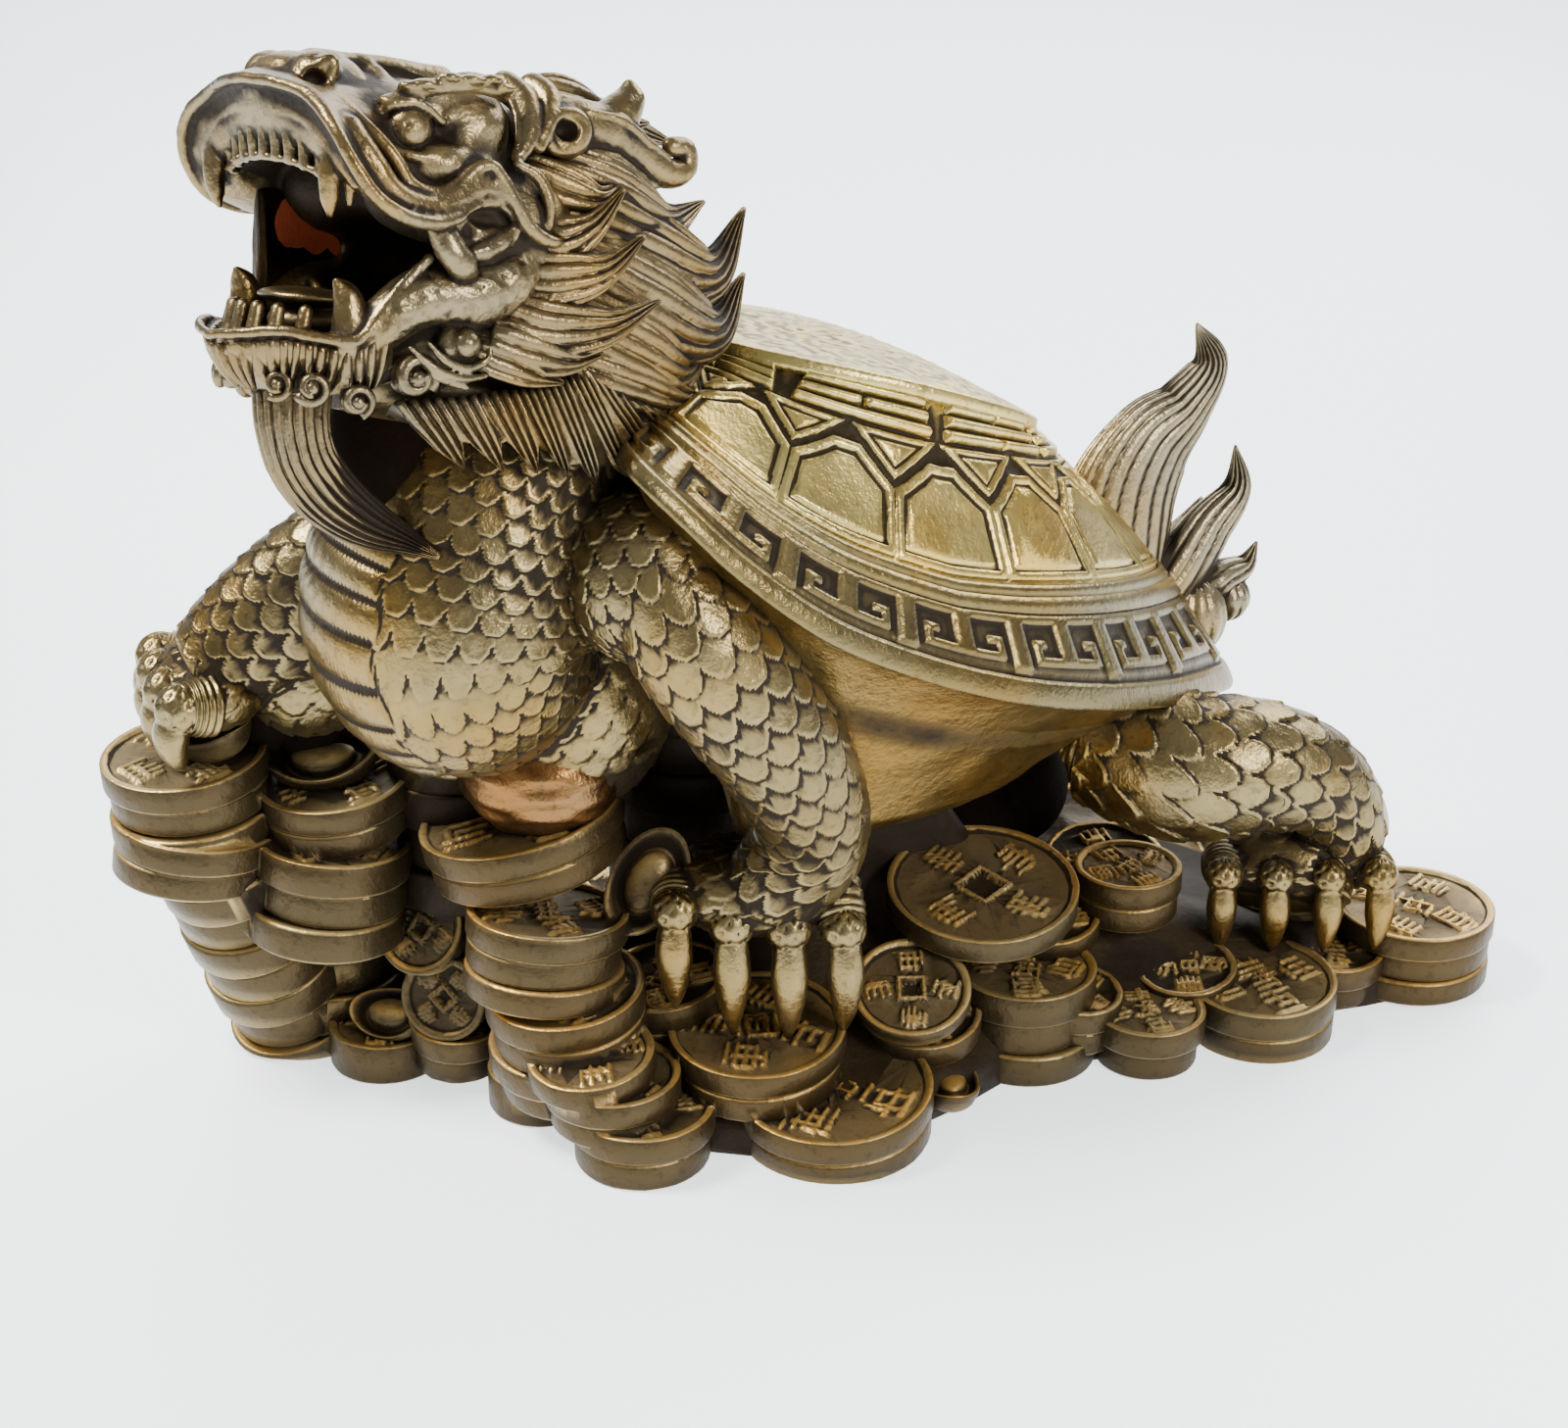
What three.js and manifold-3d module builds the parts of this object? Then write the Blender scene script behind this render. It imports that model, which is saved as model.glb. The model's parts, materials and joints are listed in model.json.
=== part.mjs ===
// Dragon turtle figure, cast in one piece: a horned dragon-headed turtle on a heap of coins and ingots.
// Millimetres, +Z up. The head looks towards -Y and the turtle's left side is +X.
import * as THREE from "three";
import { mergeVertices } from "three/addons/utils/BufferGeometryUtils.js";
import Module from "manifold-3d";

const wasm = await Module();
wasm.setup();

// Length of the whole figure from the front coins to the rear ones. The sizes below belong to it.
const FIGURE_LENGTH = 281;

// Shell
const SHELL_PITCH = 25;
const SHELL_CENTRE = [0, 25, 98];
const LIP_THICKNESS = 2.6;
const DISC_HALF_LENGTH = 38;
const DISC_HALF_WIDTH = 27;
const DISC_MIDDLE = -32;
const DISC_HEIGHT = 38;
const DISC_CREST = -16;
const DISC_CURVE_RADIUS = 190;
const DISC_OVERHANG = 0.05;
const DISC_RISE = 1.5;
const DISC_EDGE = 2.6;
const DISC_SEAT = 0.2;
const DISC_INNER_RINGS = [[0.7, 0.6], [0.3, 0.95]];
const FRONT_BULGE = -0.05;
const REAR_BULGE = 0.1;
const SCUTE_COUNT = 14;
const SCUTE_RAISE = 0.9;
const SCUTE_GAP = 0.07;
const SCUTE_LOW = 0.42;
const SCUTE_SHOULDER = 0.66;
const SCUTE_APEX = 0.8;
const KEY_RAISE = 0.9;
const KEY_GAP = 0.14;
const FRET_LOW = 0.08;
const FRET_HIGH = 0.27;
const LINE_RAISE = 0.7;
const LINE_LOW = 0.32;
const LINE_HIGH = 0.35;
const BAR_GROUPS = 8;
const BAR_ROWS = 3;
const BAR_RAISE = 1.3;
const BAR_GAP = 0.08;
const BAR_SHARE = 0.68;
const BARS_LOW = 0.85;
const BARS_HIGH = 1;
const EDGE = 0.02;
const SKIRT_FLOOR = 59;
const SKIRT_TUCK = 0.4;
const SKIRT_CENTRE_Y = 14;
const SKIRT_STEPS = [1, 0.6, 0.25, 0.06];
const SHELL_SIDES = 28;
const DISC_SIDES = 24;

// Coins
const COIN_THICKNESS = 5.6;
const COIN_RIM = 1.7;
const COIN_SUNK = 0.8;
const COIN_STEP = 0.8;
const COIN_SIDES = 14;
const PLAIN_SIDES = 10;

// Ingots, as shares of their half length. The profile runs from the underside over the rim to the dome, as
// [share of the outline, height].
const INGOT_PROFILE = [
  [0.4, -0.5], [0.8, -0.32], [1, 0.05], [0.88, 0.1], [0.72, -0.05], [0.55, 0.12], [0.3, 0.26],
];
const INGOT_WIDTH = 0.66;
const INGOT_END_RISE = 0.25;
const INGOT_SIDES = 10;

// Heap behind the coins: [share of its outline, height], and how far its top lies to the right
const HEAP_LEVELS = [[1, 0], [0.98, 8], [0.8, 13], [0.6, 19], [0.42, 26], [0.3, 34], [0.16, 62]];
const HEAP_SHIFT = 4;

// Belly
const BELLY_PLATES = 6;
const BELLY_PLATE_SHARE = 0.07;
const BELLY_PLATE_SPREAD = 55;
const BELLY_PLATE_FADE = 8;
const BELLY_GROOVE = 0.4;
const CHEST_LOW = 0.2;
const CHEST_HIGH = 0.6;
const RINGS_PER_PLATE = 3;
const CHEST_STATIONS_BELOW = [0, 0.05, 0.12];
const CHEST_STATIONS_ABOVE = [0.7, 0.8, 0.9, 1];

// Head
const HEAD_CENTRE = [2, -72, 172];
const HEAD_YAW = 12;
const HEAD_PITCH = 14;
const HEAD_ROLL = 8;
const LIP_WALL = 3.5;
const JAW_OUTSIDE_FULLNESS = 0.7;
const JAW_INSIDE_FULLNESS = 0.6;
const FRONT_TEETH = 6;
const FRONT_TEETH_SPAN = 9.5;
const FRONT_TEETH_CURVE = 0.02;
const TOOTH_DEPTH = 0.7;
const TOOTH_TIP = 0.55;
const FANG_MIDDLE = 0.8;

// Locks of the mane, with their middles as shares of the way from root to tip
const LOCK_MIDDLE = 0.87;
const LOCK_MIDDLE_BACK = 0.55;
const LOCK_MIDDLE_DOWN = 0.6;
const LOCK_SWELL = 1.5;
const LOCK_SAG = 2.5;
const ROOT_STEP = 8;

// Paws, with claw sizes as shares of the toe's half thickness
const TOES = 4;
const KNUCKLE = 1.1;
const CLAW_BEND = 0.35;
const CLAW_WIDTH = 0.66;
const CLAW_DEPTH = 0.62;
const CLAW_REACH = 1.1;
const TOE_ROOT_REACH = 0.2;
const KNUCKLE_LIFT = 0.2;

// Half size of the end of a claw, flame or tuft, and how tightly the sizes of a swept form follow their list
const TIP = [0.3, 0.3];
const SIZE_TENSION = 0.3;

// Mesh of the casting
const TRIANGLE_LIMIT = 9700;
const MERGE_DISTANCE = 1e-4;
const SHORT_EDGE_COST = 0.002;
const FOLD_LIMIT = 0.3;
const LEAST_AREA = 1e-3;
const UNDERSIDE_CUT = 0.05;

const radians = THREE.MathUtils.degToRad;
const vec = (x, y, z) => new THREE.Vector3(x, y, z);
const mix = THREE.MathUtils.lerp;

// Closed solid from points and triangles. Repeated points are merged and the faces are turned outwards.
function solidFrom(points, triangles) {
  const flat = new THREE.BufferGeometry();
  flat.setAttribute("position", new THREE.Float32BufferAttribute(points.flatMap((p) => p.toArray()), 3));
  flat.setIndex(triangles);
  const merged = mergeVertices(flat, MERGE_DISTANCE);
  const place = merged.attributes.position;
  const kept = [];
  let volume = 0;
  const corner = (i) => vec().fromBufferAttribute(place, i);
  for (let i = 0; i < merged.index.count; i += 3) {
    const [a, b, c] = [0, 1, 2].map((k) => merged.index.getX(i + k));
    if (a === b || b === c || c === a) continue;
    kept.push([a, b, c]);
    volume += corner(a).dot(corner(b).cross(corner(c)));
  }
  const facing = volume < 0 ? kept.map(([a, b, c]) => [a, c, b]) : kept;
  const mesh = new wasm.Mesh({
    numProp: 3,
    vertProperties: place.array,
    triVerts: new Uint32Array(facing.flat()),
  });
  return new wasm.Manifold(mesh);
}

// Solid of a three.js geometry that is already closed
function solidOf(geometry) {
  const index = geometry.index ? [...geometry.index.array] : [...geometry.attributes.position.array.keys()];
  const place = geometry.attributes.position;
  const points = Array.from({ length: place.count }, (_, i) => vec().fromBufferAttribute(place, i));
  return solidFrom(points, geometry.index ? index : index.slice(0, place.count));
}

// Solid between rings that all have the same number of points, with a fan over each end
function loft(rings) {
  const sides = rings[0].length;
  const points = rings.flat();
  const triangles = [];
  for (let i = 0; i + 1 < rings.length; i += 1) {
    for (let j = 0; j < sides; j += 1) {
      const a = i * sides + j;
      const b = i * sides + ((j + 1) % sides);
      triangles.push(a, b, a + sides, b, b + sides, a + sides);
    }
  }
  for (const [ring, start, flip] of [
    [rings[0], 0, true], [rings.at(-1), (rings.length - 1) * sides, false],
  ]) {
    const middle = points.length;
    points.push(ring.reduce((sum, p) => sum.add(p), vec(0, 0, 0)).divideScalar(sides));
    for (let j = 0; j < sides; j += 1) {
      const a = start + j;
      const b = start + ((j + 1) % sides);
      triangles.push(...(flip ? [middle, b, a] : [middle, a, b]));
    }
  }
  return solidFrom(points, triangles);
}

// Solid along a smooth path. Each size is [half width, half thickness] at its path point, and up is the
// direction that the thickness is measured in.
function sweep(path, sizes, { up = vec(0, 0, 1), sides = 8, steps = 4, stations, shape = () => 1 } = {}) {
  const places = stations ?? Array.from({ length: steps + 1 }, (_, i) => i / steps);
  const line = new THREE.CatmullRomCurve3(path, false, "centripetal");
  const sizePoints = sizes.map(([a, b]) => vec(a, b, 0));
  const size = new THREE.CatmullRomCurve3(sizePoints, false, "catmullrom", SIZE_TENSION);
  const rings = [];
  for (const t of places) {
    const middle = line.getPoint(t);
    const tangent = line.getTangent(t);
    const across = tangent.clone().cross(up).normalize();
    const over = across.clone().cross(tangent).normalize();
    const { x: a, y: b } = size.getPoint(t);
    const ring = [];
    for (let j = 0; j < sides; j += 1) {
      const angle = (2 * Math.PI * j) / sides;
      const k = shape(t, angle);
      ring.push(
        middle
          .clone()
          .addScaledVector(across, Math.max(a, 0) * k * Math.cos(angle))
          .addScaledVector(over, Math.max(b, 0) * k * Math.sin(angle)),
      );
    }
    rings.push(ring);
  }
  return loft(rings);
}

// Ball with three radii along three axes of a frame
function ball(middle, radii, { frame = new THREE.Matrix4(), sides = 12, rows = 8 } = {}) {
  const geometry = new THREE.SphereGeometry(1, sides, rows);
  geometry.scale(...radii);
  geometry.applyMatrix4(frame.clone().setPosition(0, 0, 0));
  geometry.translate(middle.x, middle.y, middle.z);
  return solidOf(geometry);
}

const mirrored = (point) => vec(-point.x, point.y, point.z);

// Shell. Its own frame has p running to the rear, w to the left and h away from the ground.
const pitch = radians(SHELL_PITCH);
const shellMiddle = vec(...SHELL_CENTRE);
const rearwards = vec(0, Math.cos(pitch), -Math.sin(pitch));
const shellUp = vec(0, Math.sin(pitch), Math.cos(pitch));

// Rim of the left half from the rear tip round to the front notch, as [w, p, h]
const RIM = [
  [0, 84, 1],
  [9, 83, 1],
  [21, 69, 0],
  [34, 47, -2.6],
  [46, 20, -5],
  [51.5, -3, -6.8],
  [53, -28, -7.3],
  [52, -51, -5.5],
  [48, -71, 0],
  [44, -84, 5.6],
  [37, -93, 10],
  [24, -90, 11],
  [0, -82, 12],
];
const rimHalf = RIM.map(([w, p, h]) => vec(w, p, h));
const rimOther = rimHalf.slice(1, -1).reverse().map(mirrored);
const rimCurve = new THREE.CatmullRomCurve3([...rimHalf, ...rimOther], true, "centripetal");

// Edge of the round plate on top, which follows the dome
function discPoint(turn, share = 1) {
  const angle = turn * 2 * Math.PI;
  const p = DISC_MIDDLE + share * DISC_HALF_LENGTH * Math.cos(angle);
  const w = share * DISC_HALF_WIDTH * Math.sin(angle);
  return vec(w, p, DISC_HEIGHT - (p - DISC_CREST) ** 2 / (2 * DISC_CURVE_RADIUS));
}

// Point of the dome between the rim, at rise 0, and the plate on top, at rise 1
function domePoint(turn, rise) {
  const rim = rimCurve.getPointAt(((turn % 1) + 1) % 1);
  const disc = discPoint(turn);
  const rear = Math.cos(turn * 2 * Math.PI);
  const bulge = mix(FRONT_BULGE, REAR_BULGE, Math.max(rear, 0)) * Math.sin(Math.PI * rise);
  const point = rim.clone().lerp(disc, rise);
  point.z = mix(rim.z, disc.z, rise + bulge);
  return point;
}

const shellToWorld = (point) =>
  shellMiddle
    .clone()
    .addScaledVector(vec(1, 0, 0), point.x)
    .addScaledVector(rearwards, point.y)
    .addScaledVector(shellUp, point.z);

// Direction away from the dome, found from its slopes
function domeNormal(turn, rise) {
  const step = 0.004;
  const along = domePoint(turn + step, rise).sub(domePoint(turn - step, rise));
  const up = domePoint(turn, rise + step).sub(domePoint(turn, rise - step));
  const normal = along.cross(up).normalize();
  return normal.z < 0 ? normal.negate() : normal;
}

// Solid between rings that may have different numbers of points. Each ring is a list of [turn, point] with
// rising turns, and the first and last rings are closed by a fan.
function zipLoft(rings) {
  const points = [];
  const starts = rings.map((ring) => {
    const start = points.length;
    points.push(...ring.map(([, point]) => point));
    return start;
  });
  const triangles = [];
  for (let r = 0; r + 1 < rings.length; r += 1) {
    const [low, high] = [rings[r], rings[r + 1]];
    const turnAt = (ring, i) => ring[i % ring.length][0] + Math.floor(i / ring.length);
    let [i, j] = [0, 0];
    while (i < low.length || j < high.length) {
      const lowIndex = starts[r] + (i % low.length);
      const highIndex = starts[r + 1] + (j % high.length);
      if (j >= high.length || (i < low.length && turnAt(low, i + 1) <= turnAt(high, j + 1))) {
        triangles.push(lowIndex, starts[r] + ((i + 1) % low.length), highIndex);
        i += 1;
      } else {
        triangles.push(lowIndex, starts[r + 1] + ((j + 1) % high.length), highIndex);
        j += 1;
      }
    }
  }
  const fans = [[0, true], [rings.length - 1, false]];
  for (const [r, flip] of fans) {
    const count = rings[r].length;
    const middle = points.length;
    points.push(rings[r].reduce((sum, [, p]) => sum.add(p), vec(0, 0, 0)).divideScalar(count));
    for (let j = 0; j < count; j += 1) {
      const a = starts[r] + j;
      const b = starts[r] + ((j + 1) % count);
      triangles.push(...(flip ? [middle, b, a] : [middle, a, b]));
    }
  }
  return solidFrom(points, triangles);
}

const evenTurns = (count) => Array.from({ length: count }, (_, i) => i / count);

// Ring of the dome. Every cell round it repeats the same columns of [share of the cell, rise, lift].
function domeRing(cells, columns) {
  return evenTurns(cells).flatMap((start, cell) =>
    columns(cell).map(([u, rise, lift]) => {
      const turn = start + u / cells;
      return [turn, shellToWorld(domePoint(turn, rise).addScaledVector(domeNormal(turn, rise), lift))];
    }),
  );
}

const plainRing = (rise, lift = 0) => domeRing(SHELL_SIDES, () => [[0, rise, lift]]);

// Plain skirt that draws in under the rim, down to the heap
function skirtRings() {
  return SKIRT_STEPS.map((down) =>
    evenTurns(SHELL_SIDES).map((turn) => {
      const lip = shellToWorld(domePoint(turn, 0)).addScaledVector(shellUp, -LIP_THICKNESS);
      const centre = vec(0, SKIRT_CENTRE_Y, lip.z);
      const point = lip.clone().lerp(centre, SKIRT_TUCK * Math.sqrt(down));
      point.z = mix(lip.z, SKIRT_FLOOR, down);
      return [turn, point];
    }),
  );
}

// Raised blocks of the key fret, two to a scute, between two low rings
function fretRings() {
  const block = (rise) =>
    domeRing(
      2 * SCUTE_COUNT,
      () => [[0, rise, 0], [KEY_GAP, rise, KEY_RAISE], [1 - KEY_GAP, rise, KEY_RAISE]],
    );
  return [plainRing(FRET_LOW - EDGE), block(FRET_LOW), block(FRET_HIGH), plainRing(FRET_HIGH + EDGE)];
}

const lineRings = () => [
  plainRing(LINE_LOW, LINE_RAISE),
  plainRing(LINE_HIGH, LINE_RAISE),
  plainRing(LINE_HIGH + EDGE),
];

// Row of five-sided scutes with a groove between neighbours
function scuteRings() {
  const plate = (side, apex, lift) =>
    domeRing(
      SCUTE_COUNT,
      () => [[0, side, 0], [SCUTE_GAP, side, lift], [0.5, apex, lift], [1 - SCUTE_GAP, side, lift]],
    );
  return [
    plate(SCUTE_LOW, SCUTE_LOW, SCUTE_RAISE),
    plate(SCUTE_SHOULDER, SCUTE_APEX, SCUTE_RAISE),
    plate(SCUTE_SHOULDER + EDGE, SCUTE_APEX + EDGE, 0),
  ];
}

// Eight groups of three bars round the plate on top. Whole and broken bars take turns.
function barRings() {
  const rings = [];
  for (let row = 0; row < BAR_ROWS; row += 1) {
    const low = mix(BARS_LOW, BARS_HIGH, row / BAR_ROWS);
    const high = mix(BARS_LOW, BARS_HIGH, (row + BAR_SHARE) / BAR_ROWS);
    const columns = (rise) => (group) => {
      const whole = [[0, rise, 0], [BAR_GAP, rise, BAR_RAISE], [1 - BAR_GAP, rise, BAR_RAISE]];
      const broken = (group + row) % 2 === 1;
      const split = [
        [0.5 - BAR_GAP / 2, rise, BAR_RAISE], [0.5, rise, 0], [0.5 + BAR_GAP / 2, rise, BAR_RAISE],
      ];
      return broken ? [...whole.slice(0, 2), ...split, whole[2]] : whole;
    };
    rings.push(domeRing(BAR_GROUPS, () => [[0, low, 0], [0.5, low, 0]]));
    rings.push(domeRing(BAR_GROUPS, columns(low + EDGE / 2)));
    rings.push(domeRing(BAR_GROUPS, columns(high)));
  }
  return rings;
}

// Round plate on top, with an overhanging edge
function discRings() {
  const ring = (share, lift, sides) =>
    evenTurns(sides).map((turn) => {
      const point = discPoint(turn, share);
      point.z = mix(point.z, discPoint(turn).z, 0.5) + lift;
      return [turn, shellToWorld(point)];
    });
  const underside = -DISC_SEAT * DISC_EDGE;
  const top = underside + DISC_EDGE;
  return [
    ring(1 - DISC_OVERHANG, underside - DISC_EDGE / 2, DISC_SIDES),
    ring(1 + DISC_OVERHANG, underside, DISC_SIDES),
    ring(1 + DISC_OVERHANG, top, DISC_SIDES),
    ...DISC_INNER_RINGS.map(([share, rise]) => ring(share, top + rise * DISC_RISE, DISC_SIDES / 2)),
  ];
}

const shell = () =>
  zipLoft([
    ...skirtRings(),
    plainRing(0, -LIP_THICKNESS),
    plainRing(0),
    ...fretRings(),
    ...lineRings(),
    ...scuteRings(),
    ...barRings(),
    ...discRings(),
  ]);

// Neck and chest, with belly plates as rolls across the front
function chest() {
  const plateRings = Array.from(
    { length: BELLY_PLATES * RINGS_PER_PLATE + 1 },
    (_, i) => mix(CHEST_LOW, CHEST_HIGH, i / (BELLY_PLATES * RINGS_PER_PLATE)),
  );
  const stations = [...CHEST_STATIONS_BELOW, ...plateRings, ...CHEST_STATIONS_ABOVE];
  const path = [
    vec(0, -60, 83), vec(0, -67, 92), vec(0, -75, 107), vec(0, -70, 128), vec(1, -60, 148),
    vec(2, -60, 166),
  ];
  const sizes = [[8, 7], [24, 21], [31, 28], [28, 26], [22, 22], [18, 20]];
  const rolls = (t, angle) => {
    const fromFront = Math.abs(THREE.MathUtils.radToDeg(Math.atan2(Math.cos(angle), Math.sin(angle))));
    const along = (t - CHEST_LOW) / (CHEST_HIGH - CHEST_LOW);
    if (along < 0 || along > 1 || fromFront > BELLY_PLATE_SPREAD) return 1;
    const fade = 1 - (fromFront / BELLY_PLATE_SPREAD) ** BELLY_PLATE_FADE;
    const roll = Math.abs(Math.sin(along * BELLY_PLATES * Math.PI)) - BELLY_GROOVE;
    return 1 + roll * fade * BELLY_PLATE_SHARE;
  };
  return sweep(path, sizes, { up: vec(0, -1, 0.001), sides: 16, stations, shape: rolls });
}

// Short stem that carries the chest on the coins
const stem = () => ball(vec(0, -60, 74), [18, 16, 14], { sides: 12, rows: 6 });

// Trunk behind the chest, which joins it to the left shoulder and the belly
const trunk = () => ball(vec(5, -57, 93), [22, 22, 32], { sides: 12, rows: 7 });

// The left front leg stands on the heap, and the right one reaches forward
const frontLegLeft = () =>
  sweep(
    [
      vec(14, -44, 128), vec(30, -50, 124), vec(37, -44, 112), vec(40, -34, 96), vec(39, -24, 80),
      vec(34, -18, 64), vec(28, -22, 53),
    ],
    [[12, 13], [13, 12.5], [13, 12], [12.5, 11.5], [11.5, 11], [10.5, 10.5], [13, 10]],
    { up: vec(1, 0.3, 0.2), sides: 8, steps: 9 },
  );

const frontLegRight = () =>
  sweep(
    [vec(-14, -60, 115), vec(-25, -84, 111), vec(-31, -98, 102), vec(-35, -108, 95), vec(-37, -114, 91)],
    [[12, 14], [11.5, 15], [11, 14], [10.5, 11.5], [10.5, 9]],
    { sides: 8, steps: 6 },
  );

// Bend of the right front leg, low beside the chest
const elbow = () => ball(vec(-34, -94, 89), [11, 14, 14], { sides: 10, rows: 6 });

function hindLeg(side) {
  const place = (x, y, z) => vec(side * x, y, z);
  const thigh = sweep(
    [
      place(16, 62, 60),
      place(31, 72, 57),
      place(38, 88, 56),
      place(41, 101, 50),
      place(41, 109, 38),
      place(37, 108, 29),
    ],
    [[14, 15], [15, 16], [13, 14], [10, 10.5], [8, 8.5], [9, 9]],
    { up: place(1, 0, 0.6), sides: 8, steps: 8 },
  );
  const foot = sweep(
    [place(30, 112, 25), place(33, 104, 29), place(37, 97, 29), place(42, 93, 27)],
    [[9, 8], [13, 10], [15, 9], [15, 5]],
    { sides: 8, steps: 4 },
  );
  return [thigh, foot];
}

// Toe with a knuckle and a hanging claw
function toe(root, knuckle, tip, thick, sides) {
  const outwards = knuckle.clone().sub(root).setZ(0).normalize();
  const nail = knuckle.clone().lerp(tip, CLAW_BEND).addScaledVector(outwards, thick / 2);
  return sweep(
    [root, knuckle, nail, tip],
    [[thick, thick], [thick * KNUCKLE, thick], [thick * CLAW_WIDTH, thick * CLAW_DEPTH], TIP],
    { up: outwards.clone().add(vec(0, 0, 0.5)), sides, steps: 5 },
  );
}

// Paw with four toes side by side. Facing is the way that the toes point, as degrees from the +X axis.
function paw({ middle, radii, facing, spacing, fan, reach, claw, thick, sides = 6 }) {
  const heart = vec(...middle);
  const pieces = [ball(
    heart,
    radii,
    { frame: new THREE.Matrix4().makeRotationZ(radians(facing)), sides: 8, rows: 5 },
  )];
  for (let i = 0; i < TOES; i += 1) {
    const place = i - (TOES - 1) / 2;
    const angle = radians(facing + place * fan);
    const outwards = vec(Math.cos(angle), Math.sin(angle), 0);
    const across = vec(-Math.sin(radians(facing)), Math.cos(radians(facing)), 0);
    const row = heart.clone().addScaledVector(across, place * spacing);
    const root = row.clone().addScaledVector(outwards, reach * TOE_ROOT_REACH);
    const knuckle = row.clone().addScaledVector(outwards, reach).add(vec(0, 0, thick * KNUCKLE_LIFT));
    const tip = row.clone().addScaledVector(outwards, reach * CLAW_REACH).add(vec(0, 0, -claw));
    pieces.push(toe(root, knuckle, tip, thick, sides));
  }
  return pieces;
}

// Head frame: f runs to the snout, s to the head's left, k to its crown
const headFrame = (() => {
  const yaw = radians(HEAD_YAW);
  const lift = radians(HEAD_PITCH);
  const roll = radians(HEAD_ROLL);
  const forward = vec(Math.sin(yaw) * Math.cos(lift), -Math.cos(yaw) * Math.cos(lift), Math.sin(lift));
  const level = vec(0, 0, 1).cross(forward).normalize();
  const upright = forward.clone().cross(level);
  const left = level.clone().multiplyScalar(Math.cos(roll)).addScaledVector(upright, Math.sin(roll));
  const crown = upright.clone().multiplyScalar(Math.cos(roll)).addScaledVector(level, -Math.sin(roll));
  return { forward, left, crown };
})();

const head = (f, s, k) =>
  vec(...HEAD_CENTRE)
    .addScaledVector(headFrame.forward, f)
    .addScaledVector(headFrame.left, s)
    .addScaledVector(headFrame.crown, k);

const headBasis = new THREE.Matrix4().makeBasis(headFrame.forward, headFrame.left, headFrame.crown);
const headBall = (f, s, k, radii, sides = 6, rows = 4) => ball(
  head(f, s, k),
  radii,
  { frame: headBasis, sides, rows },
);
const headSweep = (path, sizes, options = {}) =>
  sweep(path.map(([f, s, k]) => head(f, s, k)), sizes, { up: headFrame.crown, sides: 5, ...options });
const bothSides = (make) => [1, -1].flatMap((side) => make(side));

// Hollow lower jaw from stations of [f, half width, outer height, lip height, inner height]
function lowerJaw() {
  const stations = [
    [-8, 21, -12, 2, -4],
    [8, 21.5, -18, -1, -8],
    [20, 20.5, -20, -6, -11],
    [30, 18.5, -19.5, -10, -13],
    [38, 16, -18.5, -9.5, -13.5],
    [44, 11, -17, -10.5, -13.5],
    [48, 4.5, -15, -12, -13],
  ];
  const arc = [0, 0.22, 0.5, 0.78, 1].map((share) => Math.PI * share);
  return loft(
    stations.map(([f, halfWidth, outer, lip, inner]) => {
      const outside = arc.map((a) => head(
        f,
        halfWidth * Math.cos(a),
        mix(lip, outer, Math.sin(a) ** JAW_OUTSIDE_FULLNESS),
      ));
      const inside = arc.map((a) => head(
        f,
        (halfWidth - LIP_WALL) * Math.cos(a),
        mix(lip, inner, Math.sin(a) ** JAW_INSIDE_FULLNESS),
      ));
      return [...outside, ...inside.reverse()];
    }),
  );
}

// Upper jaw that flares out to a wide rolled lip. Each row is one slice of its left half, from the lip's end
// in the cheek up to the middle, as [f, s, k] at the skull, the snout, behind the lip, the lip outside and
// inside, the gum, the palate and the throat.
function upperJaw() {
  const slices = [
    [
      [9, 22.5, 15], [18, 24, 13], [24, 26, 9.5], [29, 28.3, 8.8], [28, 25.5, 8.4], [27, 20, 10],
      [20, 18.5, 9], [12, 18, 3],
    ],
    [
      [10, 22, 19], [24, 22.5, 17], [31, 25.5, 13.5], [36.5, 28, 12.2], [36, 25.5, 11.8], [34, 19, 13.5],
      [24, 17.5, 12], [12, 17, 5],
    ],
    [
      [11, 21, 24], [27, 20.5, 22], [36, 24, 19.5], [41.5, 27, 18.5], [40.5, 24.5, 17.5],
      [39.5, 18, 16.5], [25, 16.5, 15], [12, 16, 7],
    ],
    [
      [12, 18, 28], [29, 18, 27], [38.5, 20.5, 26], [43.6, 23, 25], [42.5, 21, 23], [40.3, 14, 18.8],
      [26, 14, 17.5], [12, 13, 9],
    ],
    [
      [12, 12, 31], [30, 12, 31], [39.5, 14, 30], [43.8, 15.5, 29.3], [43, 14, 27], [40.5, 10, 20],
      [26, 9, 19], [12, 8, 10],
    ],
    [
      [12, 0, 32], [30, 0, 33], [40, 0, 32.5], [45.5, 0, 31.5], [45, 0, 29], [41, 0, 20.5], [26, 0, 20],
      [12, 0, 10],
    ],
  ];
  const other = slices.slice(0, -1).reverse().map((slice) => slice.map(([f, s, k]) => [f, -s, k]));
  return loft([...slices, ...other].map((slice) => slice.map((point) => head(...point))));
}

// Cheek skin between the jaws inside each corner of the mouth
const cheekWall = (side) =>
  headSweep(
    [[4, 17 * side, 3], [16, 18 * side, 2], [30, 18 * side, 1]], [[3, 14], [3, 13], [2, 11]],
    { steps: 2 },
  );

// Skull with both jaws. A skin closes the right cheek.
function skull() {
  return [
    headBall(-6, 0, 10, [25, 22, 22], 10, 7),
    headBall(8, 0, 21, [15, 19, 12], 8, 5),
    headBall(33, 0, 30, [9, 9.5, 6], 8, 5),
    upperJaw(),
    lowerJaw(),
    cheekWall(-1),
  ];
}

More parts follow.
